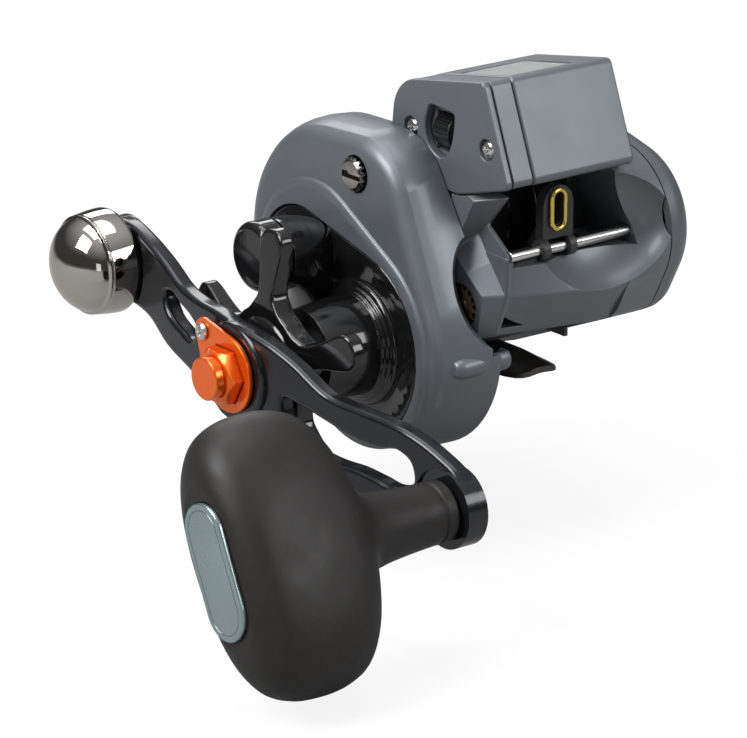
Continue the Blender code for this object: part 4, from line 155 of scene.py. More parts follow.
def noise(tree: Tree, place: Socket, scale: float, detail: float = 3.0) -> Socket:
    """Add a noise pattern.

    Args:
        tree: the nodes it joins.
        place: the coordinates.
        scale: repeats in a metre.
        detail: octaves of the noise.

    Returns:
        The pattern's socket.
    """
    made = add_node(tree, "TexNoise", scale=scale, detail=detail)
    link(tree, (place, made.inputs["Vector"]))
    return made.outputs["Fac"]


def new_material(name: str) -> tuple[bpy.types.Material, Tree, bpy.types.Node]:
    """Return a new material with its nodes and its Principled shader."""
    made = bpy.data.materials.new(name)
    made.use_nodes = True
    return made, made.node_tree, made.node_tree.nodes["Principled BSDF"]


def seen_directly(tree: Tree) -> Socket:
    """Return a socket that is 1 for what the camera sees, also through a lens."""
    rays = add_node(tree, "LightPath")
    seen = add_node(tree, "Math", "MAXIMUM")
    link(tree, (rays.outputs["Is Camera Ray"], seen.inputs[0]),
         (rays.outputs["Is Transmission Ray"], seen.inputs[1]))
    return seen.outputs["Value"]


class Grain(Enum):
    """The fine texture of a finish."""

    SPRAY = "spray"
    FOAM = "foam"
    BRUSHED = "brushed"
    TURNED = "turned"


@dataclass(frozen=True)
class Finish:
    """One surface finish: a Principled shader whose colour, gloss and bump vary finely.

    Attributes:
        name: the finish in a maker's words.
        slot: the material slot of the record.
        colour: middle colour, linear.
        drift: share by which the colour varies over the surface.
        roughness: middle roughness.
        roughness_drift: how far the roughness varies each way.
        metallic: metallic value.
        coat: weight of the clear coat.
        grain: kind of fine texture.
        grain_scale: repeats of the texture in a metre.
        grain_depth: depth of the texture in metres.
        soft_edge: radius by which shading rounds sharp edges, in metres.
        wear: how much lighter convex edges are painted, a painted edge highlight, and on the foot also wear.
        specular: specular level.
    """

    name: str
    slot: str
    colour: tuple[float, float, float]
    drift: float = 0.08
    roughness: float = 0.4
    roughness_drift: float = 0.05
    metallic: float = 0.0
    coat: float = 0.0
    grain: Grain = Grain.SPRAY
    grain_scale: float = 2500.0
    grain_depth: float = 0.000004
    soft_edge: float = 0.00015
    wear: float = 0.0
    specular: float = 0.5

    def material(self) -> bpy.types.Material:
        """Return the finish's material, made once."""
        found = bpy.data.materials.get(self.name)
        if found:
            return found
        made, tree, shader = new_material(self.name)
        shader.inputs["Metallic"].default_value = self.metallic
        shader.inputs["Coat Weight"].default_value = self.coat
        shader.inputs["Specular IOR Level"].default_value = self.specular
        shader.inputs["Coat Roughness"].default_value = COAT_ROUGHNESS
        place = add_node(tree, "TexCoord").outputs["Object"]
        link(tree, (self._colour(tree, place), shader.inputs["Base Color"]),
             (self._gloss(tree, place), shader.inputs["Roughness"]),
             (self._normal(tree, place), shader.inputs["Normal"]))
        return made

    def _colour(self, tree: Tree, place: Socket) -> Socket:
        """Let the colour drift over the surface, and paint convex edges lighter in patches: a painted edge
        highlight, and on the foot also wear.

        Args:
            tree: the material's nodes.
            place: the object coordinates.

        Returns:
            The colour's socket.
        """
        ramp = add_node(tree, "ValToRGB")
        for stop, position, side in zip(ramp.color_ramp.elements, NOISE_SPAN, (-1.0, 1.0)):
            stop.position = position
            stop.color = (*(c * (1.0 + side * self.drift) for c in self.colour), 1.0)
        scale = FOAM_PATCHES if self.grain is Grain.FOAM else COLOUR_PATCHES
        link(tree, (noise(tree, place, scale), ramp.inputs["Fac"]))
        if self.wear == 0.0:
            return ramp.outputs["Color"]
        # Painted edge highlight: convex edges, found by pointiness, get a lighter colour in patches; on the
        # foot this also stands for wear.
        shape = add_node(tree, "NewGeometry")
        edge = add_node(tree, "MapRange", from_min=WORN_AND_LIT_EDGE[0], from_max=WORN_AND_LIT_EDGE[1])
        patch = add_node(tree, "Math", "MULTIPLY")
        mix = add_node(tree, "Mix")
        mix.data_type = "RGBA"
        mix.inputs[7].default_value = (*(min(1.0, c + self.wear) for c in self.colour), 1.0)
        link(tree, (shape.outputs["Pointiness"], edge.inputs["Value"]),
             (edge.outputs["Result"], patch.inputs[0]),
             (noise(tree, place, WORN_AND_LIT_PATCHES), patch.inputs[1]),
             (ramp.outputs["Color"], mix.inputs[6]),
             (patch.outputs["Value"], mix.inputs["Factor"]))
        return mix.outputs[2]

    def _gloss(self, tree: Tree, place: Socket) -> Socket:
        """Let the roughness drift over the surface.

        Args:
            tree: the material's nodes.
            place: the object coordinates.

        Returns:
            The roughness's socket.
        """
        spread = add_node(tree, "MapRange", from_min=NOISE_SPAN[0], from_max=NOISE_SPAN[1],
                          to_min=max(0.0, self.roughness - self.roughness_drift),
                          to_max=self.roughness + self.roughness_drift)
        link(tree, (noise(tree, place, GLOSS_PATCHES), spread.inputs["Value"]))
        return spread.outputs["Result"]

    def _normal(self, tree: Tree, place: Socket) -> Socket:
        """Add the fine texture over softened edges.

        Args:
            tree: the material's nodes.
            place: the object coordinates.

        Returns:
            The normal's socket.
        """
        edge = add_node(tree, "Bevel", radius=self.soft_edge)
        edge.samples = EDGE_SAMPLES
        stretch = {Grain.BRUSHED: (1.0, 0.04, 0.04), Grain.TURNED: (1.0, 0.08, 0.08)}
        turn = add_node(tree, "Mapping", scale=stretch.get(self.grain, (1.0, 1.0, 1.0)))
        bump = add_node(tree, "Bump", strength=1.0, distance=self.grain_depth)
        link(tree, (place, turn.inputs["Vector"]),
             (noise(tree, turn.outputs["Vector"], self.grain_scale, GRAIN_DETAIL), bump.inputs["Height"]),
             (edge.outputs["Normal"], bump.inputs["Normal"]))
        return bump.outputs["Normal"]


@dataclass(frozen=True)
class ClearFinish:
    """A clear moulded lens.

    Attributes:
        name: the finish in a maker's words.
        slot: the material slot of the record.
    """

    name: str = "polished clear lens"
    slot: str = "clear_lens"

    def material(self) -> bpy.types.Material:
        """Return the lens's material, made once."""
        found = bpy.data.materials.get(self.name)
        if found:
            return found
        made, tree, shader = new_material(self.name)
        shader.inputs["Transmission Weight"].default_value = 0.6
        shader.inputs["Base Color"].default_value = (0.86, 0.87, 0.87, 1.0)
        shader.inputs["IOR"].default_value = 1.45
        place = add_node(tree, "TexCoord").outputs["Object"]
        spread = add_node(tree, "MapRange", to_min=0.0, to_max=0.06)
        link(tree, (noise(tree, place, 400.0, 2.0), spread.inputs["Value"]),
             (spread.outputs["Result"], shader.inputs["Roughness"]))
        return made


# The lighter convex edges given to these finishes are a painted edge highlight; on the foot they also stand
# for wear.
PAINT = Finish("satin gun metal paint", "grey_paint", (0.130, 0.144, 0.158), 0.05, 0.42, 0.03,
               metallic=0.45, coat=0.12, grain_scale=5200.0, grain_depth=0.0000035,
               soft_edge=0.0002, wear=0.05)
BLACK_MOULDING = Finish("satin black moulding", "black_frame", (0.018, 0.018, 0.019), 0.15, 0.42,
                        grain_scale=3000.0, grain_depth=0.000005, wear=0.02)
GLOSS_BLACK = Finish("gloss black", "gloss_black", (0.006, 0.006, 0.0065), 0.2, 0.10, 0.03,
                     metallic=0.0, coat=0.2, grain_scale=900.0, grain_depth=0.0000015,
                     soft_edge=0.00025, wear=0.015)
BLACK_NICKEL = Finish("black nickel", "gloss_black", (0.16, 0.155, 0.15), 0.1, 0.2, 0.04, metallic=1.0,
                      grain_scale=3000.0, grain_depth=0.000001)
ARM_BLACK = Finish("black anodised handle", "anodised_black", (0.026, 0.027, 0.031), 0.12, 0.20,
                   0.04, metallic=0.75, coat=0.2, grain_scale=4200.0, grain_depth=0.0000025,
                   soft_edge=0.00012, wear=0.02)
ORANGE = Finish("orange anodised", "orange_anodised", (0.86, 0.135, 0.008), 0.05, 0.20, 0.04,
                metallic=0.65, coat=0.3, grain=Grain.TURNED, grain_scale=3000.0,
                grain_depth=0.000001, soft_edge=0.0002)
DARK_CHROME = Finish("dark nickel plating", "dark_chrome", (0.46, 0.43, 0.40), 0.03, 0.045, 0.015,
                     metallic=1.0, grain_scale=500.0, grain_depth=0.0000004, soft_edge=0.0002)
EVA = Finish("charcoal foam", "eva_foam", (0.0125, 0.0108, 0.0100), 0.10, 0.50, 0.06,
             grain=Grain.FOAM, grain_scale=2600.0, grain_depth=0.00002, soft_edge=0.0004,
             specular=0.35)
INLAY = Finish("blue grey satin inlay", "blue_grey_metal", (0.29, 0.36, 0.37), 0.08, 0.27, 0.05,
               metallic=0.8, grain=Grain.BRUSHED, grain_scale=2500.0, grain_depth=0.000002,
               soft_edge=0.0002)
GOLD = Finish("gold coated ring", "gold_ceramic", (0.72, 0.56, 0.12), 0.05, 0.2, 0.04,
              metallic=0.85, grain_scale=3000.0, grain_depth=0.000001)
STEEL = Finish("stainless steel", "stainless_steel", (0.62, 0.61, 0.60), 0.06, 0.24, 0.06,
               metallic=1.0, grain=Grain.TURNED, grain_scale=3500.0, grain_depth=0.000002)
BRASS = Finish("machined brass", "brass", (0.36, 0.27, 0.13), 0.08, 0.3, metallic=1.0,
               grain=Grain.TURNED, grain_scale=3000.0, grain_depth=0.000002)
FOOT = Finish("worn black foot", "dark_foot", (0.030, 0.027, 0.025), 0.2, 0.36, metallic=0.5,
              grain_scale=2500.0, grain_depth=0.000004, wear=0.25)
FIBRE = Finish("drag fibre", "drag_fibre", (0.05, 0.05, 0.05), 0.3, 0.7, grain_scale=1500.0,
               grain_depth=0.00001)
SPOOL_METAL = Finish("dark anodised spool", "spool_aluminium", (0.09, 0.09, 0.095), 0.06, 0.28,
                     metallic=0.9, grain=Grain.TURNED, grain_scale=3200.0, grain_depth=0.000002)
WHEEL_WHITE = Finish("white number wheel", "digit_wheel", (0.80, 0.80, 0.78), 0.03, 0.4,
                     grain_scale=2500.0, grain_depth=0.000002)
INK = Finish("black print", "black_frame", (0.012, 0.012, 0.012), 0.1, 0.5,
             grain_scale=2500.0, grain_depth=0.000001)
LENS = ClearFinish()


def smooth_rows(rows: Sequence[Row], per_span: int, closed: bool = False) -> list[Row]:
    """Draw a smooth curve through rows of numbers, evenly bent whatever their spacing.

    Args:
        rows: the rows that the curve passes through.
        per_span: steps between two rows.
        closed: True where the last row runs on to the first.

    Returns:
        The rows of the finer curve.
    """
    count = len(rows)
    spans = count if closed else count - 1
    lengths = [max(dist(rows[i], rows[(i + 1) % count]), 1e-9) for i in range(spans)]
    slopes = [tuple((b - a) / lengths[i] for a, b in zip(rows[i], rows[(i + 1) % count]))
              for i in range(spans)]

    def tangent(index: int) -> Row:
        """Slope of the curve at a row, a weighted mean of its two neighbours."""
        if not closed and index in (0, count - 1):
            return slopes[0 if index == 0 else spans - 1]
        before, after = (index - 1) % spans, index % spans
        total = lengths[before] + lengths[after]
        return tuple((a * lengths[after] + b * lengths[before]) / total
                     for a, b in zip(slopes[before], slopes[after]))

    made: list[Row] = []
    for index in range(spans):
        start, end = rows[index], rows[(index + 1) % count]
        lean, settle = tangent(index), tangent((index + 1) % count)
        for step in range(per_span):
            t = step / per_span
            a = 2 * t ** 3 - 3 * t ** 2 + 1
            b = (t ** 3 - 2 * t ** 2 + t) * lengths[index]
            c = (t ** 3 - t ** 2) * lengths[index]
            made.append(tuple(a * p + b * m + (1 - a) * q + c * n
                              for p, m, q, n in zip(start, lean, end, settle)))
    if not closed:
        made.append(tuple(rows[-1]))
    return made


def rounded(points: Sequence[Pair], radii: Sequence[float], steps: int = 4) -> list[Pair]:
    """Round the corners of a closed outline.

    Args:
        points: the outline's corners.
        radii: how far each corner's rounding reaches, one for each corner.
        steps: spans in each rounding.

    Returns:
        The finer outline, with the same count for each corner.
    """
    count = len(points)
    made: list[Pair] = []
    for index, corner in enumerate(points):
        here = Vector(corner)
        before = Vector(points[index - 1]) - here
        after = Vector(points[(index + 1) % count]) - here
        reach_before = min(radii[index], before.length * 0.48)
        reach_after = min(radii[index], after.length * 0.48)
        start = here + before.normalized() * reach_before
        end = here + after.normalized() * reach_after
        for step in range(steps + 1):
            t = step / steps
            made.append(tuple(start * (1 - t) ** 2 + here * 2 * t * (1 - t) + end * t ** 2))
    return made


def tangent_angle(first: Lobe, second: Lobe) -> float:
    """Angle of the outer normal where a belt leaves one circle for the next.

    Args:
        first: circle that the belt leaves.
        second: circle that it goes to.

    Returns:
        The angle in radians.
    """
    dy, dz = second[0] - first[0], second[1] - first[1]
    lean = (first[2] - second[2]) / hypot(dy, dz)
    return atan2(dz, dy) - pi / 2 + atan2(lean, sqrt(1 - lean * lean))


def belt(lobes: Sequence[Lobe], inset: float = 0.0, steps: int = 24) -> list[Pair]:
    """Outline of a belt drawn round circles.

    Args:
        lobes: circles (y, z, radius) in turning order.
        inset: how far inside the belt the outline lies.
        steps: spans on each circle.

    Returns:
        The outline.
    """
    outline: list[Pair] = []
    for index, (y, z, radius) in enumerate(lobes):
        start = tangent_angle(lobes[index - 1], lobes[index])
        end = tangent_angle(lobes[index], lobes[(index + 1) % len(lobes)])
        while end < start:
            end += 2 * pi
        for step in range(steps + 1):
            angle = start + (end - start) * step / steps
            outline.append((y + (radius - inset) * cos(angle), z + (radius - inset) * sin(angle)))
    return outline


def grown(lobes: Sequence[Lobe], amount: float) -> list[Lobe]:
    """Return the circles with their radii changed by an amount."""
    return [(y, z, radius + amount) for y, z, radius in lobes]


def capsule(length: float, width: float, centre: Pair, angle: float, steps: int = 24) -> list[Pair]:
    """Outline of a round ended slot.

    Args:
        length: length over its ends.
        width: width.
        centre: middle of the slot.
        angle: direction of its long side.
        steps: spans on each end.

    Returns:
        The outline.
    """
    half = (length - width) / 2
    dy, dz = half * cos(angle), half * sin(angle)
    ends = [(centre[0] - dy, centre[1] - dz, width / 2), (centre[0] + dy, centre[1] + dz, width / 2)]
    return belt(ends, steps=steps)


def circle(radius: float, centre: Pair = (0.0, 0.0), count: int = ROUND, start: float = 0.0) -> list[Pair]:
    """Return the points of a circle."""
    turns = [start + 2 * pi * index / count for index in range(count)]
    return [(centre[0] + radius * cos(turn), centre[1] + radius * sin(turn)) for turn in turns]


def from_bmesh(work: bmesh.types.BMesh, name: str = "form") -> Item:
    """Turn a bmesh into an object whose faces point out.

    Args:
        work: the bmesh, which is freed.
        name: name of the object.

    Returns:
        The object, linked to the scene.
    """
    bmesh.ops.remove_doubles(work, verts=work.verts, dist=MERGE)
    bmesh.ops.recalc_face_normals(work, faces=work.faces)
    mesh = bpy.data.meshes.new(name)
    work.to_mesh(mesh)
    work.free()
    item = bpy.data.objects.new(name, mesh)
    bpy.context.scene.collection.objects.link(item)
    return item


def settled(item: Item) -> Item:
    """Turn an object's evaluated shape into a clean mesh that holds its place.

    Args:
        item: the object, which is removed with the shapes that cut it.

    Returns:
        The new object, unturned and at the origin.
    """
    bpy.context.view_layer.update()
    graph = bpy.context.evaluated_depsgraph_get()
    mesh = bpy.data.meshes.new_from_object(item.evaluated_get(graph))
    mesh.transform(item.matrix_world)
    work = bmesh.new()
    work.from_mesh(mesh)
    bpy.data.meshes.remove(mesh)
    bmesh.ops.remove_doubles(work, verts=work.verts, dist=MERGE)
    bmesh.ops.dissolve_degenerate(work, edges=work.edges, dist=MERGE)
    tools = [step.object for step in item.modifiers if step.type == "BOOLEAN"]
    for used in (*tools, item):
        bpy.data.objects.remove(used, do_unlink=True)
    return from_bmesh(work)


def combined(item: Item, operation: str, tools: Sequence[Item]) -> Item:
    """Add exact Booleans with helper shapes.

    Args:
        item: the piece.
        operation: DIFFERENCE, UNION or INTERSECT.
        tools: the helper shapes.

    Returns:
        The piece.
    """
    for tool in tools:
        step = item.modifiers.new(operation.lower(), "BOOLEAN")
        step.operation = operation
        step.solver = "EXACT"
        step.object = tool
        tool.hide_render = True
    return item


def cut(item: Item, *tools: Item) -> Item:
    """Cut helper shapes out of a piece and return it."""
    return combined(item, "DIFFERENCE", tools)


def join(item: Item, *tools: Item) -> Item:
    """Fuse helper shapes to a piece and return it."""
    return combined(item, "UNION", tools)


def plate(loops: Sequence[Sequence[Pair]], x_from: float, x_to: float, centre: Pair = (0.0, 0.0),
          edge: float = 0.0, edge_steps: int = 3) -> Item:
    """Extrude closed outlines along X, with rounded edges.

    Args:
        loops: the outer outline and any holes.
        x_from: one face.
        x_to: the other face.
        centre: point that the outlines are drawn about.
        edge: radius of the edges.
        edge_steps: smoothness of the edges.

    Returns:
        The plate.
    """
    curve = bpy.data.curves.new("plate", "CURVE")
    curve.dimensions = "2D"
    curve.fill_mode = "BOTH"
    curve.extrude = abs(x_to - x_from) / 2 - edge
    curve.bevel_depth = edge
    curve.bevel_resolution = edge_steps
    curve.offset = -edge
    for loop in loops:
        spline = curve.splines.new("POLY")
        spline.points.add(len(loop) - 1)
        for point, (y, z) in zip(spline.points, loop):
            point.co = (y, z, 0.0, 1.0)
        spline.use_cyclic_u = True
    item = bpy.data.objects.new("plate", curve)
    bpy.context.scene.collection.objects.link(item)
    item.rotation_euler = (pi / 2, 0.0, pi / 2)
    item.location = ((x_from + x_to) / 2, *centre)
    return settled(item)


def spun(profile: Sequence[Pair], centre: Pair, steps: int = ROUND, closed: bool = False) -> Item:
    """Turn a profile about an axis along X.

    Args:
        profile: (x, radius) points.
        centre: the axis.
        steps: facets in a turn.
        closed: True where the profile is a loop, which makes a ring.

    Returns:
        The turned piece.
    """
    work = bmesh.new()
    points = [work.verts.new((x, centre[0] + radius, centre[1])) for x, radius in profile]
    edges = [work.edges.new(pair) for pair in zip(points, points[1:])]
    if closed:
        edges.append(work.edges.new((points[-1], points[0])))
    bmesh.ops.spin(work, geom=points + edges, cent=(0.0, *centre), axis=(1.0, 0.0, 0.0),
                   angle=2 * pi, steps=steps, use_merge=True, use_duplicate=False)
    return from_bmesh(work)


def softened(profile: Sequence[Pair], radius: float, steps: int = 3) -> list[Pair]:
    """Round the inner corners of an open profile.

    Args:
        profile: (x, radius) points.
        radius: how far each rounding reaches.
        steps: spans in each rounding.

    Returns:
        The finer profile with the same ends.
    """
    made = [profile[0]]
    for before, here, after in zip(profile, profile[1:], profile[2:]):
        middle = Vector(here)
        back, ahead = Vector(before) - middle, Vector(after) - middle
        start = middle + back.normalized() * min(radius, back.length * 0.45)
        end = middle + ahead.normalized() * min(radius, ahead.length * 0.45)
        for step in range(steps + 1):
            t = step / steps
            made.append(tuple(start * (1 - t) ** 2 + middle * 2 * t * (1 - t) + end * t ** 2))
    made.append(profile[-1])
    return made


def rod(x_from: float, x_to: float, radius: float, centre: Pair, steps: int = SMALL_ROUND,
        edge: float = 0.0) -> Item:
    """A round bar along X.

    Args:
        x_from: one end.
        x_to: the other end.
        radius: radius.
        centre: the axis.
        steps: facets in a turn.
        edge: size of the rounded edges.

    Returns:
        The bar.
    """
    profile = [(x_from, 0.0), (x_from, radius), (x_to, radius), (x_to, 0.0)]
    return spun(softened(profile, edge) if edge else profile, centre, steps)


def lofted(rings: Sequence[Sequence[Row]]) -> Item:
    """Bridge closed rings of equal count, in order, and cap both ends.

    Args:
        rings: rings of (x, y, z) points.

    Returns:
        The lofted piece.
    """
    work = bmesh.new()
    loops = []
    for ring in rings:
        points = [work.verts.new(point) for point in ring]
        loops.append([work.edges.new(pair) for pair in zip(points, points[1:] + points[:1])])
    for lower, upper in zip(loops, loops[1:]):
        bmesh.ops.bridge_loops(work, edges=lower + upper)
    for loop in (loops[0], loops[-1]):
        bmesh.ops.edgeloop_fill(work, edges=loop)
    return from_bmesh(work)


def at(x: float, outline: Sequence[Pair]) -> list[Row]:
    """Lift an outline to a ring of points at x."""
    return [(x, y, z) for y, z in outline]


def box(low: Row, high: Row) -> Item:
    """A box between two corners.

    Args:
        low: lowest corner.
        high: highest corner.

    Returns:
        The box.
    """
    work = bmesh.new()
    middle = [(a + b) / 2 for a, b in zip(low, high)]
    size = [b - a for a, b in zip(low, high)]
    place = Matrix.Translation(middle) @ Matrix.Diagonal((*size, 1.0))
    bmesh.ops.create_cube(work, size=1.0, matrix=place)
    return from_bmesh(work)


def ball(centre: Row, radii: Row, steps: int = ROUND) -> Item:
    """A smooth ball stretched to three radii.

    Args:
        centre: middle of the ball.
        radii: radius along each axis.
        steps: facets in a turn.

    Returns:
        The ball.
    """
    work = bmesh.new()
    place = Matrix.Translation(centre) @ Matrix.Diagonal((*radii, 1.0))
    bmesh.ops.create_uvsphere(work, u_segments=steps, v_segments=steps // 2, radius=1.0, matrix=place)
    return from_bmesh(work)


def moved(item: Item, place: Matrix) -> Item:
    """Move an object's mesh by a matrix and let its faces point out again."""
    item.data.transform(place)
    return settled(item)


def upright(item: Item, x: float, y: float) -> Item:
    """Stand a bar that lies along X at the origin up along Z, at x and y."""
    return moved(item, Matrix.Translation((x, y, 0.0)) @ Matrix.Rotation(-pi / 2, 4, "Y"))


def along_y(x: float, z: float, y_from: float, y_to: float, radius: float,
            steps: int = SMALL_ROUND, edge: float = 0.0) -> Item:
    """A round bar along Y.

    Args:
        x: place along X.
        z: height.
        y_from: one end.
        y_to: the other end.
        radius: radius.
        steps: facets in a turn.
        edge: size of the rounded edges.

    Returns:
        The bar.
    """
    item = rod(y_from, y_to, radius, (0.0, 0.0), steps, edge)
    return moved(item, Matrix.Translation((x, 0.0, z)) @ Matrix.Rotation(pi / 2, 4, "Z"))


def prism_along_y(outline: Sequence[Pair], y_from: float, y_to: float) -> Item:
    """Extrude (x, z) points along Y."""
    return lofted([[(x, y, z) for x, z in outline] for y in (y_from, y_to)])


def dress(item: Item, name: str, finish: Finish | ClearFinish, body: str, nodes: Sequence[str] = (),
          sharp: float = 32.0) -> Item:
    """Shade a finished piece, give it its material and let it ride on its body.

    Args:
        item: the piece.
        name: its name.
        finish: its finish.
        body: the body that it moves with.
        nodes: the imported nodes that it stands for.
        sharp: edges that turn by more degrees than this stay sharp.

    Returns:
        The piece.
    """
    item = settled(item)
    item.name = name
    item.data.name = name
    item.data.shade_smooth()
    item.data.set_sharp_from_angle(angle=radians(sharp))
    weigh = item.modifiers.new("even shading", "WEIGHTED_NORMAL")
    weigh.keep_sharp = True
    item.data.materials.append(finish.material())
    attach(item, body)
    if nodes:
        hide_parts(*nodes)
    LOG.info("%s: %d faces on %s", name, len(item.data.polygons), body)
    return item


def refined(frame: dict, node: str, finish: Finish | ClearFinish, sharp: float = 32.0,
            shape: Callable[[Item], Item] = settled) -> Item:
    """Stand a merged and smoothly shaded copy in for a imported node.

    Args:
        frame: the loaded frame.
        node: the node's name.
        finish: its finish.
        sharp: edges that turn by more degrees than this stay sharp.
        shape: what is done to the copy's shape.

    Returns:
        The copy.
    """
    source = frame["nodes"][node]
    work = bmesh.new()
    work.from_mesh(source.data)
    bmesh.ops.remove_doubles(work, verts=work.verts, dist=MERGE)
    bmesh.ops.dissolve_limit(work, angle_limit=radians(0.5), verts=work.verts, edges=work.edges)
    return dress(shape(from_bmesh(work)), f"{node}_form", finish, source["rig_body"], [node], sharp)


def joint_axis(frame: dict, name: str) -> Pair:
    """Place (y, z) of a joint's axis along X.

    Args:
        frame: the loaded frame.
        name: the joint's name.

    Returns:
        The axis.
    """
    found = next(joint for joint in frame["joints"] if joint["name"] == name)
    return tuple(found["pos_m"][1:])


@dataclass
class Reel:
    """What the sub-assemblies share: the frame, the axes and the body's side lobes."""

    frame: dict

    def __post_init__(self) -> None:
        """Read the axes from the frame."""
        self.main_axis = joint_axis(self.frame, "handle_turn")
        self.knob_axis = joint_axis(self.frame, "knob_spin")
        self.spool_axis = joint_axis(self.frame, "spool_turn")
        self.worm_axis = joint_axis(self.frame, "worm_turn")
        self.idler_axis = joint_axis(self.frame, "idler_turn")
        self.wheel_axis = joint_axis(self.frame, "units_turn")
        self.rod_axis = (-0.0373, 0.0264)
        self.spool_radius = 0.0188
        self.spool_sweep = self.spool_radius + 0.001
        self.face_lobes = [(*self.main_axis, 0.0214), (0.0022, 0.0172, 0.0187)]
        self.palm_lobes = [(-0.0335, 0.0170, 0.0085), (0.0030, 0.0200, 0.0255),
                           (-0.0140, 0.0278, 0.0182), (-0.0293, 0.0259, 0.0163)]
        self.insert_lobes = [(*self.main_axis, 0.0183), (0.0062, 0.0168, 0.0124)]


COUNTER_TOP_FRONT = (-0.0352, 0.0604)
COUNTER_LOW_FRONT = (-0.0418, 0.0409)
COUNTER_TOP_REAR = (-0.0150, 0.0570)
COUNTER_X = (-0.0160, 0.0154)


def counter_outline(inset: float = 0.0, edge_radius: float = 0.0014) -> list[Pair]:
    """Rounded wedge of the counter, its top sloping up to the front.

    Args:
        inset: how far inside the housing's skin the outline lies.
        edge_radius: radius of the two front edges.

    Returns:
        The outline.
    """
    edge = max(edge_radius - inset, GAP)
    depth = edge + inset
    rear_radius = 0.0078
    lobes = [
        (COUNTER_LOW_FRONT[0] + depth, COUNTER_LOW_FRONT[1] + depth, edge),
        (-0.0260, 0.0460, 0.0088 - inset),
        (-0.0118, 0.0434, 0.0052 - inset),
        (COUNTER_TOP_REAR[0], COUNTER_TOP_REAR[1] - rear_radius, rear_radius - inset),
        (COUNTER_TOP_FRONT[0] + depth, COUNTER_TOP_FRONT[1] - depth, edge),
    ]
    return belt(lobes, steps=12)


def counter_seat(item: Item) -> Item:
    """Cut the counter's underside out of a piece that it rests in."""
    return cut(item, plate([counter_outline(-GAP)], COUNTER_X[0] - GAP, COUNTER_X[1] + GAP))


def cross_recess(face_x: float, axis: Pair, size: float, depth: float) -> list[Item]:
    """Two tapered slots of a cross recess in a head that faces -X.

    Args:
        face_x: the head's face.
        axis: the screw's axis.
        size: half the cross's span.
        depth: depth of the recess.

    Returns:
        The two cutting shapes.
    """
    y, z = axis
    thin = size / 4.5
    tools = []
    for wide, tall in ((size, thin), (thin, size)):
        outer = [(y - wide, z - tall), (y + wide, z - tall), (y + wide, z + tall), (y - wide, z + tall)]
        inner = [(y + (a - y) * 0.55, z + (b - z) * 0.55) for a, b in outer]
        grow = [(y + (a - y) * 1.3, z + (b - z) * 1.3) for a, b in outer]
        tools.append(lofted([at(face_x - depth * 0.6, grow), at(face_x + depth, inner)]))
    return tools


@dataclass
class Counterweight:
    """The domed weight on the short end of the handle."""

    reel: Reel
    radius: float = 0.0105
    length: float = 0.0131
    back_x: float = -0.0529
    stud_end_x: float = -0.0484
    stud_radius: float = 0.0020

    def build(self) -> None:
        """Turn the collar, the ridge and the dome in one profile."""
        low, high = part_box("counterweight")
        axis = ((low.y + high.y) / 2, (low.z + high.z) / 2)
        collar = [(0.0, 0.86), (0.035, 0.965), (0.07, 0.99), (0.12, 1.0), (0.30, 0.985), (0.47, 0.955),
                  (0.495, 0.948), (0.505, 0.925), (0.515, 0.925), (0.525, 0.942), (0.545, 0.942),
                  (0.56, 0.915), (0.57, 0.89), (0.58, 0.885)]
        dome = smooth_rows([(0.58, 0.885), (0.66, 0.835), (0.76, 0.735), (0.86, 0.575), (0.93, 0.41),
                            (0.98, 0.22), (1.0, 0.0)], 8)
        profile = [(self.back_x, 0.0)]
        for share, radius_share in collar + dome[1:]:
            profile.append((self.back_x - share * self.length, radius_share * self.radius))
        stud = rod(self.back_x - OVERRUN, self.stud_end_x, self.stud_radius, axis)
        weight = join(spun(profile, axis, 128), stud)
        dress(weight, "counterweight_form", DARK_CHROME, "handle", ["counterweight"], 40.0)


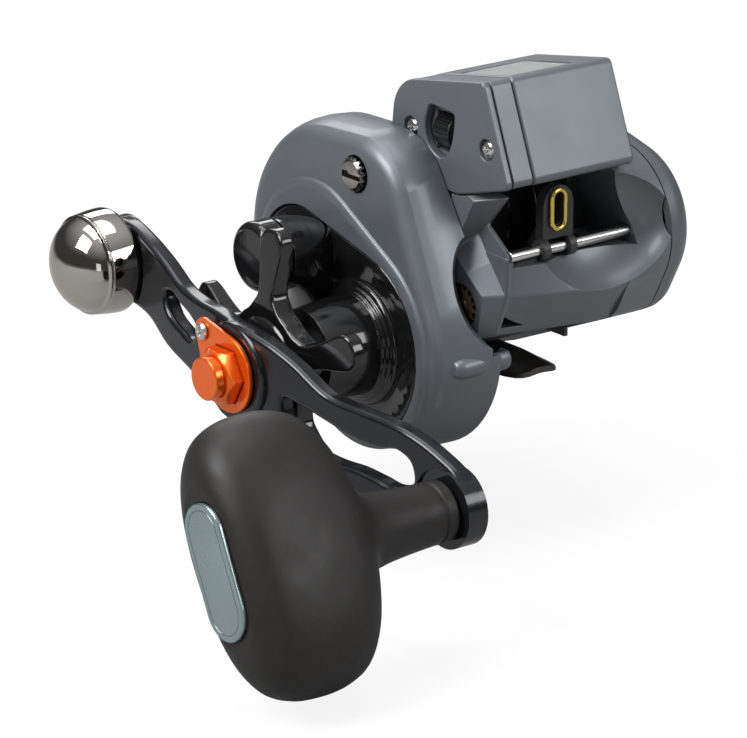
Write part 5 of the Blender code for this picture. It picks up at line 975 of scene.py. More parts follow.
@dataclass
class Knob:
    """The foam grip with its inlay."""

    reel: Reel
    tilt: float = radians(61.0)
    inlay_tilt: float = radians(64.0)
    inlay_length: float = 0.0250
    inlay_width: float = 0.0112
    inlay_depth: float = 0.0009
    inlay_edge: float = 0.00035
    inlay_rim: float = 0.0012
    bore_x: Pair = (-0.0490, -0.0988)
    bore_radius: float = 0.0041
    power: float = 2.3
    face_x: float = -0.1020
    rows: tuple[Row, ...] = (
        (-0.0520, 0.0054, 0.0054), (-0.0524, 0.0058, 0.0058), (-0.0544, 0.0059, 0.0059),
        (-0.0548, 0.0056, 0.0056), (-0.0552, 0.0058, 0.0058), (-0.0620, 0.0062, 0.0062),
        (-0.0680, 0.0069, 0.0069), (-0.0715, 0.0078, 0.0077), (-0.0735, 0.0108, 0.0086),
        (-0.0746, 0.0160, 0.0092), (-0.0762, 0.0202, 0.0101), (-0.0790, 0.0236, 0.0110),
        (-0.0835, 0.0254, 0.0117), (-0.0885, 0.0258, 0.0119), (-0.0935, 0.0252, 0.0116),
        (-0.0972, 0.0235, 0.0108), (-0.0994, 0.0209, 0.0095), (-0.1008, 0.0177, 0.0079),
        (-0.1014, 0.0150, 0.0066),
    )

    def section(self, x: float, half_length: float, half_width: float, count: int = 72) -> list[Row]:
        """Section of the grip: round at the neck and a rounded oblong in the body.

        Args:
            x: place of the section.
            half_length: half its long side.
            half_width: half its short side.
            count: points in the section.

        Returns:
            The ring of points.
        """
        blend = max(0.0, min(1.0, (half_length / half_width - 1.0) / 0.5))
        power = 2.0 + (self.power - 2.0) * blend
        ring = []
        for index in range(count):
            c, s = cos(2 * pi * index / count), sin(2 * pi * index / count)
            u = half_length * abs(c) ** (2 / power) * (1 if c >= 0 else -1)
            v = half_width * abs(s) ** (2 / power) * (1 if s >= 0 else -1)
            y = self.reel.knob_axis[0] + u * cos(self.tilt) - v * sin(self.tilt)
            z = self.reel.knob_axis[1] + u * sin(self.tilt) + v * cos(self.tilt)
            ring.append((x, y, z))
        return ring

    def build(self) -> None:
        """Build the grip round its core, and the inlay in its face."""
        neck, body = self.rows[:5], self.rows[4:]
        rows = list(neck[:-1]) + smooth_rows(body, 5)
        grip = lofted([self.section(*row) for row in rows])
        bore = rod(*self.bore_x, self.bore_radius, self.reel.knob_axis)
        seat = capsule(self.inlay_length + 2 * HAIR, self.inlay_width + 2 * HAIR, self.reel.knob_axis,
                       self.inlay_tilt)
        seat_x = self.face_x + self.inlay_depth
        cut(grip, bore, plate([seat], self.face_x - OVERRUN, seat_x))
        dress(grip, "foam_grip", EVA, "knob", ["eva_grip"], 38.0)
        outer = capsule(self.inlay_length, self.inlay_width, self.reel.knob_axis, self.inlay_tilt)
        inlay = plate([outer], self.face_x - GAP, seat_x - GAP / 2, edge=self.inlay_edge)
        rim = self.inlay_rim
        panel = capsule(self.inlay_length - 2 * rim, self.inlay_width - 2 * rim, self.reel.knob_axis,
                        self.inlay_tilt)
        groove = capsule(self.inlay_length - 2 * rim - 3 * HAIR, self.inlay_width - 2 * rim - 3 * HAIR,
                         self.reel.knob_axis, self.inlay_tilt)
        cut(inlay, plate([panel, groove], self.face_x - GAP - OVERRUN, self.face_x - GAP + HAIR))
        dress(inlay, "inlay_plate", INLAY, "knob", ["knob_inlay"])


@dataclass
class HandleArm:
    """The swept handle: two half plates joined at a hub.

    A boss is given by its two ends, its radius and the radius of what seats on it.
    """

    reel: Reel
    face_x: float = -0.058
    thickness: float = 0.0038
    sweep: float = radians(6.9)
    angle: float = radians(12.3)
    edge: float = 0.0011
    hub_radius: float = 0.0098
    hub_back_x: float = -0.0541
    knob_reach: float = 0.0574
    weight_reach: float = 0.0473
    hub_bore: float = 0.0027
    stud_bore: float = 0.0021
    knob_boss: Row = (-0.0514, -0.0470, 0.0074, 0.0077)
    weight_boss: Row = (-0.0526, -0.0484, 0.0082, 0.0111)
    knob_half: tuple[Pair, ...] = (
        (-0.0030, -0.0090), (0.0060, -0.0101), (0.0146, -0.0094), (0.0243, -0.0072),
        (0.0343, -0.0084), (0.0436, -0.0098), (0.0530, -0.0093), (0.0605, -0.0070),
        (0.0646, -0.0010), (0.0632, 0.0052), (0.0575, 0.0076), (0.0510, 0.0076),
        (0.0430, 0.0076), (0.0350, 0.0086), (0.0265, 0.0098), (0.0190, 0.0101),
        (0.0100, 0.0099), (-0.0030, 0.0090),
    )
    knob_opening: tuple[Pair, ...] = (
        (0.0139, -0.0010), (0.0185, -0.0018), (0.0240, -0.0019), (0.0300, -0.0020),
        (0.0387, -0.0032), (0.0440, -0.0051), (0.0476, -0.0043), (0.0490, -0.0011),
        (0.0450, 0.0023), (0.0400, 0.0029), (0.0350, 0.0035), (0.0290, 0.0049),
        (0.0240, 0.0054), (0.0180, 0.0047), (0.0148, 0.0022),
    )
    weight_half: tuple[Pair, ...] = (
        (-0.0030, -0.0085), (0.0090, -0.0086), (0.0160, -0.0072), (0.0220, -0.0067),
        (0.0305, -0.0082), (0.0390, -0.0090), (0.0473, -0.0086), (0.0535, -0.0058),
        (0.0556, 0.0), (0.0535, 0.0058), (0.0473, 0.0080), (0.0400, 0.0062),
        (0.0330, 0.0056), (0.0250, 0.0076), (0.0150, 0.0080), (0.0060, 0.0086),
        (-0.0030, 0.0085),
    )
    weight_opening: tuple[Pair, ...] = (
        (0.0150, -0.0016), (0.0175, -0.0026), (0.0215, -0.0030), (0.0262, -0.0036),
        (0.0282, -0.0022), (0.0262, 0.0004), (0.0205, 0.0016), (0.0160, 0.0014),
    )

    def point(self, reach: float) -> Pair:
        """Return the point on the arm's middle line at a reach from the main axis."""
        y, z = self.reel.main_axis
        return (y - reach * cos(self.angle), z - reach * sin(self.angle))

    def half(self, outline: Sequence[Pair], opening: Sequence[Pair], side: float) -> Item:
        """One half of the arm, swept back from the hub.

        Args:
            outline: outer outline, as (reach, distance below the middle line).
            opening: the opening's outline.
            side: 1 to the knob and -1 to the weight.

        Returns:
            The half plate.
        """
        loops = [smooth_rows(outline, 6, True), smooth_rows(opening, 6, True)]
        item = plate(loops, 0.0, self.thickness, edge=self.edge, edge_steps=4)
        along = Vector((0.0, -cos(self.angle), -sin(self.angle))) * side
        below = Vector((0.0, sin(self.angle), -cos(self.angle)))
        inward = Vector((1.0, 0.0, 0.0))
        swept = along * cos(self.sweep) + inward * sin(self.sweep)
        depth = inward * cos(self.sweep) - along * sin(self.sweep)
        turn = Matrix((depth, swept, below)).transposed().to_4x4()
        return moved(item, Matrix.Translation((self.face_x, *self.reel.main_axis)) @ turn)

    def build(self) -> None:
        """Join the halves, the hub and the two bosses."""
        axis = self.reel.main_axis
        knob, weight = self.point(self.knob_reach), self.point(-self.weight_reach)
        arm = self.half(self.knob_half, self.knob_opening, 1.0)
        rear = self.half(self.weight_half, self.weight_opening, -1.0)
        hub = rod(self.face_x, self.hub_back_x, self.hub_radius, axis, ROUND, self.edge)
        bosses = ((*self.knob_boss, knob), (*self.weight_boss, weight))
        join(arm, rear, hub, *(rod(front, back, radius, place, ROUND)
                               for front, back, radius, _, place in bosses))
        cut(arm, box((self.face_x - OVERRUN, -FAR, -FAR), (self.face_x, FAR, FAR)))
        cut(arm, rod(self.face_x - OVERRUN, self.hub_back_x + OVERRUN, self.hub_bore, axis))
        for front, _, _, seat, place in bosses:
            cut(arm, rod(front - 2 * OVERRUN, front, seat, place, ROUND))
        for front, back, _, _, place in bosses:
            cut(arm, rod(front - OVERRUN, back + OVERRUN, self.stud_bore, place))
        dress(arm, "swept_handle", ARM_BLACK, "handle", ["handle_arm"], 28.0)


@dataclass
class HandleNut:
    """The orange nut, its retainer plate and the plate's screw."""

    reel: Reel
    across_flats: float = 0.0100
    base_x: float = -0.0583
    hex_x: float = -0.0622
    cap_x: float = -0.0643
    cap_radius: float = 0.0042
    retainer_x: tuple[float, float] = (-0.0583, -0.0592)
    screw_axis: Pair = (-0.0046, 0.0129)
    bore_x: float = -0.0627
    bore_radius: float = 0.0027
    bevel: Pair = (0.0012, 0.0013)
    cap_edge: float = 0.0004
    plate_radii: Pair = (0.0076, 0.0026)
    plate_edge: float = 0.0002
    screw_hole: float = 0.0011
    head_radii: Pair = (0.0013, 0.0017)
    head_edge: float = 0.00012
    head_cross: Pair = (0.0010, 0.0005)
    shank_radius: float = 0.0009
    shank_reach: float = 0.003

    def build(self) -> None:
        """Build the nut, the plate and the screw."""
        axis = self.reel.main_axis
        corner = self.across_flats / (2 * cos(pi / 6))
        nut = plate([circle(corner, axis, 6)], self.hex_x, self.base_x)
        crown = spun([(self.hex_x - GAP, 0.0), (self.hex_x - GAP, corner - self.bevel[1]),
                      (self.hex_x + self.bevel[0], corner + HAIR),
                      (self.base_x + OVERRUN, corner + HAIR),
                      (self.base_x + OVERRUN, 0.0)], axis)
        combined(nut, "INTERSECT", [crown])
        cap = spun(softened([(self.base_x - GAP, 0.0), (self.base_x - GAP, self.cap_radius),
                             (self.cap_x, self.cap_radius), (self.cap_x, 0.0)], self.cap_edge, 5), axis)
        neck = spun([(self.hex_x - GAP, self.cap_radius - GAP), (self.hex_x - GAP, self.cap_radius + GAP),
                     (self.hex_x, self.cap_radius + GAP), (self.hex_x, self.cap_radius - GAP)],
                    axis, closed=True)
        cut(cap, neck)
        nut = join(settled(nut), settled(cap))
        cut(nut, rod(self.bore_x, self.base_x + OVERRUN, self.bore_radius, axis))
        dress(nut, "orange_nut", ORANGE, "handle", ["handle_nut"], 25.0)
        back, front = self.retainer_x
        lobes = [(*axis, self.plate_radii[0]), (*self.screw_axis, self.plate_radii[1])]
        retainer = plate([belt(lobes)], front, back, edge=self.plate_edge)
        cut(retainer, plate([circle(corner + GAP, axis, 6)], front - OVERRUN, back + OVERRUN),
            rod(front - OVERRUN, back + OVERRUN, self.screw_hole, self.screw_axis))
        dress(retainer, "orange_retainer", ORANGE, "handle", ["nut_retainer"], 25.0)
        top, seat, end = front - 3 * GAP, front - GAP / 2, back + self.shank_reach
        inner, outer = self.head_radii
        shank = self.shank_radius
        head = spun(softened([(top, 0.0), (top, inner), (top + 1.5 * GAP, outer), (seat, outer),
                              (seat, shank), (end, shank), (end, 0.0)], self.head_edge),
                    self.screw_axis)
        cut(head, *cross_recess(top, self.screw_axis, *self.head_cross))
        dress(head, "retainer_screw_form", STEEL, "handle", ["retainer_screw"], 30.0)


@dataclass
class StarDrag:
    """The dished five armed star."""

    reel: Reel
    arms: int = 5
    turn: float = radians(17.0)
    face_x: float = -0.0503
    back_x: float = -0.0460
    face_dish: float = 0.16
    back_dish: float = 0.07
    root: float = 0.0114
    hub: float = 0.0094
    hub_x: Pair = (-0.0520, -0.0442)
    bore: float = 0.0033
    edge: float = 0.0006
    longest_edge: float = 0.0015
    rows: tuple[Pair, ...] = ((0.0121, 0.0034), (0.0134, 0.0025), (0.0160, 0.0024), (0.0195, 0.0029),
                              (0.0225, 0.0034), (0.0243, 0.0033), (0.0254, 0.0025), (0.0260, 0.0012))

    def outline(self, shrink: float = 0.0) -> list[Pair]:
        """Outline of the star.

        Args:
            shrink: how much narrower each arm is drawn.

        Returns:
            The outline about the star's axis.
        """
        points: list[Pair] = []
        step = 2 * pi / self.arms
        for arm in range(self.arms):
            middle = self.turn + step * arm
            for share in (-0.5, -0.38):
                angle = middle + share * step
                points.append((self.root * cos(angle), self.root * sin(angle)))
            side = [(reach - shrink, -half + shrink) for reach, half in self.rows]
            side += [(reach - shrink, half - shrink) for reach, half in reversed(self.rows)]
            for reach, across in side:
                points.append((reach * cos(middle) - across * sin(middle),
                               reach * sin(middle) + across * cos(middle)))
            angle = middle + 0.38 * step
            points.append((self.root * cos(angle), self.root * sin(angle)))
        return smooth_rows(points, 4, True)

    def build(self) -> None:
        """Dish the arms and join the hub."""
        axis = self.reel.main_axis
        star = plate([self.outline(), circle(self.hub * 0.7)], self.face_x, self.back_x, axis,
                     self.edge, 4)
        work = bmesh.new()
        work.from_mesh(star.data)
        rims = [edge for edge in work.edges if edge.calc_length() > self.longest_edge]
        bmesh.ops.subdivide_edges(work, edges=rims, cuts=3, use_grid_fill=False)
        bmesh.ops.triangulate(work, faces=work.faces)
        for vertex in work.verts:
            reach = hypot(vertex.co.y - axis[0], vertex.co.z - axis[1])
            depth_share = (vertex.co.x - self.face_x) / (self.back_x - self.face_x)
            dish = self.face_dish + (self.back_dish - self.face_dish) * depth_share
            vertex.co.x += max(0.0, reach - self.root) * dish
        work.to_mesh(star.data)
        work.free()
        first, last = self.hub_x
        profile = [(first, self.bore), (first, self.hub * 0.70), (first + GAP, self.hub * 0.74),
                   (first + 3 * GAP, self.hub * 0.84), (first + 4 * GAP, self.hub * 0.95),
                   (first + 6 * GAP, self.hub), (last - 0.002, self.hub), (last - 0.0016, self.hub * 0.96),
                   (last, self.hub * 0.93), (last, self.bore)]
        hub = spun(profile, axis, closed=True)
        dress(join(star, hub), "star_wheel", GLOSS_BLACK, "star", ["star_drag"], 38.0)


@dataclass
class BezelInsert:
    """The gloss insert with the drag boss and the cast control boss."""

    reel: Reel
    rim_x: float = -0.0281
    back_x: float = -0.0268
    boss_end_x: float = -0.0412
    boss_radius: float = 0.0090
    edge: float = 0.00045
    bell_foot: float = 0.0126
    bell_rows: tuple[Pair, ...] = ((0.0, 0.0124), (0.0004, 0.0120), (0.0006, 0.0114), (0.0010, 0.0112),
                                   (0.0012, 0.0107), (0.0016, 0.0105), (0.0018, 0.0101), (0.0050, 0.0098))
    neck: Row = (-0.0360, -0.0420, 0.0051)
    drag_room: Pair = (-0.0384, 0.0075)
    sleeve_bore: float = 0.0052
    spool_bore: float = 0.0041
    tension_rows: tuple[Row, ...] = (
        (-0.0270, 0.0062, 0.0168, 0.0113, 0.0044), (-0.0279, 0.0062, 0.0168, 0.0113, 0.0044),
        (-0.0296, 0.0056, 0.0174, 0.0104, 0.0052), (-0.0318, 0.0040, 0.0192, 0.0092, 0.0060),
        (-0.0342, 0.0020, 0.0212, 0.0080, 0.0065), (-0.0366, 0.0007, 0.0226, 0.0072, 0.0067),
        (-0.0390, 0.0001, 0.0233, 0.0068, 0.0067),
    )

    def build(self) -> None:
        """Build the dished plate and both bosses, then bore them."""
        axis, spool = self.reel.main_axis, self.reel.spool_axis
        depth = self.back_x - self.rim_x
        insert = plate([belt(self.reel.insert_lobes)], self.rim_x, self.back_x, edge=self.edge,
                       edge_steps=4)
        main_radius = self.reel.insert_lobes[0][2]
        dish = spun([(self.rim_x - OVERRUN, 0.0), (self.rim_x - OVERRUN, main_radius - 1.7 * depth),
                     (self.rim_x, main_radius - 1.8 * depth),
                     (self.rim_x + depth / 2, main_radius - 3 * depth),
                     (self.rim_x + depth / 2, 0.0)], axis)
        insert = settled(cut(insert, dish))
        inner = self.back_x - GAP / 2
        bell_rows = [(inner, self.bell_foot),
                     *((self.rim_x - ahead, radius) for ahead, radius in self.bell_rows),
                     (self.boss_end_x, self.boss_radius)]
        bell = spun([(inner, 0.0), *softened(bell_rows, 0.0002, 2), (self.boss_end_x, 0.0)], axis)
        rows = [self.tension_rows[0]] + smooth_rows(self.tension_rows[1:], 6)
        rings = [at(row[0], belt([row[1:4], (*spool, row[4])], steps=30)) for row in rows]
        neck_x, neck_end_x, neck_radius = self.neck
        join(insert, bell, lofted(rings), rod(neck_x, neck_end_x, neck_radius, spool, ROUND))
        insert = settled(insert)
        start = self.back_x + OVERRUN
        cut(insert, rod(start, *self.drag_room, axis),
            rod(start, self.boss_end_x - OVERRUN, self.sleeve_bore, axis),
            rod(start, neck_end_x - OVERRUN, self.spool_bore, spool))
        dress(insert, "bezel_form", GLOSS_BLACK, "frame", ["bezel_insert"], 34.0)


@dataclass
class CastControl:
    """The ribbed cap knob on the spool axis."""

    reel: Reel
    inner_x: float = -0.0396
    outer_x: float = -0.0446
    radius: float = 0.0069
    ribs: int = 28
    bore_x: float = -0.0433
    bore_radius: float = 0.0055
    flute_radius: float = 0.0004
    flute_start: float = 0.0016
    flute_stop: float = 0.0005
    chamfer: float = 0.0012
    edge: float = 0.00025

    def build(self) -> None:
        """Turn the cap and cut its grip flutes."""
        axis = self.reel.spool_axis
        profile = softened([(self.outer_x, 0.0), (self.outer_x, self.radius - self.chamfer),
                            (self.outer_x + self.chamfer / 2, self.radius - self.chamfer / 4),
                            (self.outer_x + self.chamfer, self.radius), (self.inner_x, self.radius),
                            (self.inner_x, self.bore_radius), (self.bore_x, self.bore_radius),
                            (self.bore_x, 0.0)], self.edge)
        cap = spun(profile, axis)
        for turn in range(self.ribs):
            angle = 2 * pi * turn / self.ribs
            reach = self.radius * 1.035
            centre = (axis[0] + reach * cos(angle), axis[1] + reach * sin(angle))
            cut(cap, rod(self.outer_x + self.flute_start, self.inner_x - self.flute_stop,
                         self.flute_radius, centre, 12))
        dress(cap, "cast_control_cap", GLOSS_BLACK, "cast_control", ["tension_knob"], 36.0)


@dataclass
class SideCover:
    """The handle side cover and its thumbscrew.

    A wall row holds its place and the (y, z, radius) of three lobes.
    """

    reel: Reel
    back_x: float = -0.0268
    inner_x: float = -0.0143
    rim_x: float = -0.0265
    face_x: float = -0.0283
    wall: float = 0.0016
    thumb_axis: Pair = (-0.0106, 0.0395)
    thumb_radius: float = 0.0034
    scallop_centre: Row = (-0.0143, -0.0410, 0.0220)
    scallop_radii: Row = (0.0085, 0.0145, 0.0130)
    boss_axis: Pair = (-0.0360, 0.0062)
    boss_profile: tuple[Pair, ...] = ((-0.0238, 0.0), (-0.0238, 0.0013), (-0.0224, 0.0021), (-0.0193, 0.0023),
                                      (-0.0115, 0.0023), (-0.0112, 0.0020), (-0.0112, 0.0))
    boss_edge: float = 0.0006
    drag_bore: float = 0.0118
    spool_bore: float = 0.0046
    thumb_seat_x: float = -0.0243
    thumb_bore: float = 0.0014
    notch_front: Row = (-0.0161, -FAR, 0.0078)
    notch_rear: Row = (0.0, -0.0244, FAR)
    wall_rows: tuple[Row, ...] = (
        (-0.0143, -0.0147, 0.0086, 0.0241, 0.0015, 0.0207, 0.0256, -0.0109, 0.0329, 0.0137),
        (-0.0190, -0.0139, 0.0082, 0.0239, 0.0011, 0.0207, 0.0260, -0.0109, 0.0329, 0.0144),
        (-0.0230, -0.0131, 0.0078, 0.0233, 0.0001, 0.0207, 0.0259, -0.0109, 0.0327, 0.0145),
        (-0.0254, -0.0126, 0.0077, 0.0227, -0.0008, 0.0207, 0.0255, -0.0109, 0.0325, 0.0142),
    )
    face_rows: tuple[Pair, ...] = ((-0.0254, 0.0), (-0.0266, 0.0010), (-0.0273, 0.0023), (-0.0275, 0.0034))
    raised_rows: tuple[Pair, ...] = ((-1.0, 0.0), (0.5, 0.0002), (0.75, 0.0005), (0.92, 0.0012),
                                     (1.0, 0.0022))
    end_inset: float = 0.0008
    ribs: int = 16
    rib_rows: tuple[Pair, ...] = ((0.12, 0.90), (0.30, 1.0), (0.70, 1.0), (0.88, 0.90))
    head_x: Pair = (-0.0288, -0.0246)
    head_edge: float = 0.00025
    stem: Row = (-0.0249, -0.0169, 0.0013)
    crown: tuple[Pair, ...] = ((-0.0292, 0.0), (-0.0292, 0.0022), (-0.0280, 0.0036), (-0.0240, 0.0036),
                               (-0.0240, 0.0))
    slot_x: Pair = (-0.0300, -0.0279)
    slot_half: Pair = (0.0028, 0.00065)

    def section(self, row: Row, inset: float = 0.0) -> list[Row]:
        """Return one section of the cover, from a row of its place and three lobes."""
        lobes = [row[1:4], row[4:7], row[7:10]]
        return at(row[0], belt(lobes, inset, 28))

    def build_cover(self) -> None:
        """Build the shell with its raised face, scallop and front boss."""
        axis, spool = self.reel.main_axis, self.reel.spool_axis
        crease = self.wall_rows[-1]
        rings = [self.section(row) for row in smooth_rows(self.wall_rows, 6)]
        rings += [self.section((x, *crease[1:]), inset) for x, inset in smooth_rows(self.face_rows, 5)[1:]]
        cover = lofted(rings)
        depth = self.rim_x - self.face_x
        steps = smooth_rows([(self.rim_x - depth * share, inset) for share, inset in self.raised_rows], 4)
        raised = lofted([at(x, belt(self.reel.face_lobes, inset, 40)) for x, inset in steps])
        boss = spun(softened(self.boss_profile, self.boss_edge), self.boss_axis)
        join(cover, raised, boss)
        back = self.rim_x + self.wall
        hollow = lofted([
            self.section((self.inner_x + OVERRUN, *self.wall_rows[0][1:]), self.wall),
            self.section(self.wall_rows[2], self.wall),
            self.section((back, *crease[1:]), self.wall + self.end_inset)])
        socket = self.thumb_radius + GAP
        pad = rod(self.rim_x, self.thumb_seat_x + self.wall, socket + self.wall, self.thumb_axis)
        inner_scallop = ball(self.scallop_centre, tuple(r + self.wall for r in self.scallop_radii))
        cut(cover, settled(cut(hollow, inner_scallop, pad)))
        start, front = back + OVERRUN, self.face_x - OVERRUN
        cut(cover, ball(self.scallop_centre, self.scallop_radii),
            plate([belt(grown(self.reel.insert_lobes, GAP))], self.back_x + GAP, front),
            rod(start, front, self.drag_bore, axis, ROUND),
            rod(start, front, self.spool_bore, spool),
            rod(self.thumb_seat_x, front, socket, self.thumb_axis),
            rod(self.inner_x + OVERRUN, self.face_x, self.thumb_bore, self.thumb_axis),
            box(self.notch_front, self.notch_rear))
        counter_seat(cover)
        dress(cover, "handle_side_cover_form", PAINT, "frame", ["handle_side_cover"], 30.0)

    def build_thumbscrew(self) -> None:
        """Build the ribbed head with its slot."""
        y, z = self.thumb_axis
        teeth = []
        for turn in range(self.ribs):
            for share, radius in self.rib_rows:
                angle = 2 * pi * (turn + share) / self.ribs
                reach = self.thumb_radius * radius
                teeth.append((y + reach * cos(angle), z + reach * sin(angle)))
        head = plate([teeth], *self.head_x, edge=self.head_edge, edge_steps=2)
        stem = rod(*self.stem, self.thumb_axis)
        combined(head, "INTERSECT", [spun(self.crown, self.thumb_axis)])
        head = join(settled(head), stem)
        half_length, half_width = self.slot_half
        front, floor = self.slot_x
        cut(head, box((front, y - half_length, z - half_width), (floor, y + half_length, z + half_width)))
        dress(head, "thumbscrew_form", BLACK_NICKEL, "thumbscrew", ["side_plate_thumbscrew"], 32.0)

    def build(self) -> None:
        """Build the cover and its thumbscrew."""
        self.build_cover()
        self.build_thumbscrew()


PILLAR_END = ((-0.0253, 0.0093), (-0.0338, 0.0095), (-0.0376, 0.0187), (-0.0382, 0.0265),
              (-0.0312, 0.0315), (-0.0369, 0.0380), (-0.0253, 0.0400))


@dataclass
class FrontHood:
    """The hood over the level wind: pillar, bumper with its crease, nose and cheek.

    A bumper row holds its place, the (y, z) of its low edge, crease and top edge, and the
    height of its top at the rear. A bore is its two ends and its radius.
    """

    reel: Reel
    bay_x: tuple[float, float] = (-0.0112, 0.0130)
    rear_y: float = -0.0253
    seam_x: float = 0.0219
    frame_palm_x: float = 0.0150
    wall: float = 0.0016
    scoop_centre: Row = (0.0060, -0.0470, 0.0310)
    scoop_radii: Row = (0.0170, 0.0120, 0.0140)
    pillar_rows: tuple[tuple[float, tuple[Pair, ...]], ...] = (
        (-0.0158, ((-0.0253, 0.0095), (-0.0332, 0.0098), (-0.0347, 0.0187), (-0.0297, 0.0224),
                   (-0.0259, 0.0258), (-0.0319, 0.0369), (-0.0253, 0.0400))),
        (-0.0122, ((-0.0253, 0.0093), (-0.0337, 0.0095), (-0.0373, 0.0189), (-0.0325, 0.0247),
                   (-0.0289, 0.0294), (-0.0369, 0.0380), (-0.0253, 0.0400))),
        (-0.0120, PILLAR_END),
        (-0.0112, PILLAR_END),
    )
    pillar_radii: Row = (0.0006, 0.0012, 0.0004, 0.0003, 0.0004, 0.0004, 0.0006)
    bumper_rear: Pair = (-0.0257, 0.0094)
    bumper_radii: Row = (0.0004, 0.0008, 0.0004, 0.0008, 0.0004)
    bumper_rows: tuple[Row, ...] = (
        (-0.0123, -0.0335, 0.0096, -0.0372, 0.0187, -0.0376, 0.0262, 0.0262),
        (-0.0070, -0.0344, 0.0095, -0.0392, 0.0185, -0.0386, 0.0262, 0.0262),
        (-0.0020, -0.0352, 0.0095, -0.0411, 0.0185, -0.0394, 0.0262, 0.0262),
        (0.0040, -0.0364, 0.0095, -0.0428, 0.0185, -0.0408, 0.0265, 0.0265),
        (0.0100, -0.0376, 0.0095, -0.0438, 0.0185, -0.0425, 0.0270, 0.0270),
        (0.0160, -0.0380, 0.0098, -0.0436, 0.0185, -0.0436, 0.0275, 0.0275),
        (0.0216, -0.0374, 0.0101, -0.0430, 0.0185, -0.0450, 0.0272, 0.0275),
    )
    room_front: Pair = (-0.0356, 0.0115)
    rod_bore: Row = (-0.0119, 0.0209, 0.0012)
    worm_bores: tuple[Row, ...] = ((-0.0086, -0.0144, 0.0024), (0.0100, 0.0159, 0.0024),
                                   (-0.0188, -0.0143, 0.0043))
    idler_bore: Row = (-0.0188, -0.0143, 0.00555)
    bay_outline: tuple[Pair, ...] = ((-0.0112, 0.0243), (0.0178, 0.0243), (0.0178, 0.0275), (0.0126, 0.0410),
                                     (0.0126, 0.0600), (-0.0112, 0.0600))

    def pillar(self) -> Item:
        """Return the side pillar with softened corners."""
        return lofted([at(x, rounded(points, self.pillar_radii)) for x, points in self.pillar_rows])

    def bumper(self) -> Item:
        """Return the bumper, smooth along X, with a crisp crease."""
        rear_y = self.bumper_rear[0]
        rings = []
        for x, *row in smooth_rows(self.bumper_rows, 5):
            points = [self.bumper_rear, *zip(row[:6:2], row[1:6:2]), (rear_y, row[6])]
            rings.append(at(x, rounded(points, self.bumper_radii, 5)))
        return lofted(rings)

    def cheek(self) -> Item:
        """Return the hollow cheek beside the palm cover."""
        lobes = self.reel.palm_lobes
        inner_x = self.frame_palm_x + GAP
        cheek = plate([belt(lobes)], self.bay_x[1], self.seam_x)
        cut(cheek, box((self.bay_x[1] - OVERRUN, self.rear_y, -FAR), (inner_x, FAR, FAR)))
        hollow = plate([belt(lobes, self.wall)], inner_x - OVERRUN, self.seam_x + OVERRUN)
        cut(hollow, box((self.bay_x[1] - 2 * OVERRUN, -FAR, -FAR),
                        (self.seam_x + 2 * OVERRUN, self.rear_y + GAP, FAR)))
        return settled(cut(cheek, settled(hollow)))

    def build(self) -> None:
        """Fuse the three stretches and cut the bay, the scoop and the bores."""
        hood = join(self.pillar(), self.bumper(), self.cheek())
        low_x, high_x = self.bay_x
        front_y, floor_z = self.room_front
        rear = self.rear_y + OVERRUN
        cut(hood, box((low_x, front_y, floor_z), (high_x, rear, FAR)),
            prism_along_y(self.bay_outline, -FAR, rear),
            ball(self.scoop_centre, self.scoop_radii),
            rod(*self.rod_bore, self.reel.rod_axis),
            *(rod(*bore, self.reel.worm_axis) for bore in self.worm_bores),
            rod(*self.idler_bore, self.reel.idler_axis))
        counter_seat(hood)
        dress(hood, "front_hood_form", PAINT, "frame", ["front_hood"], 26.0)


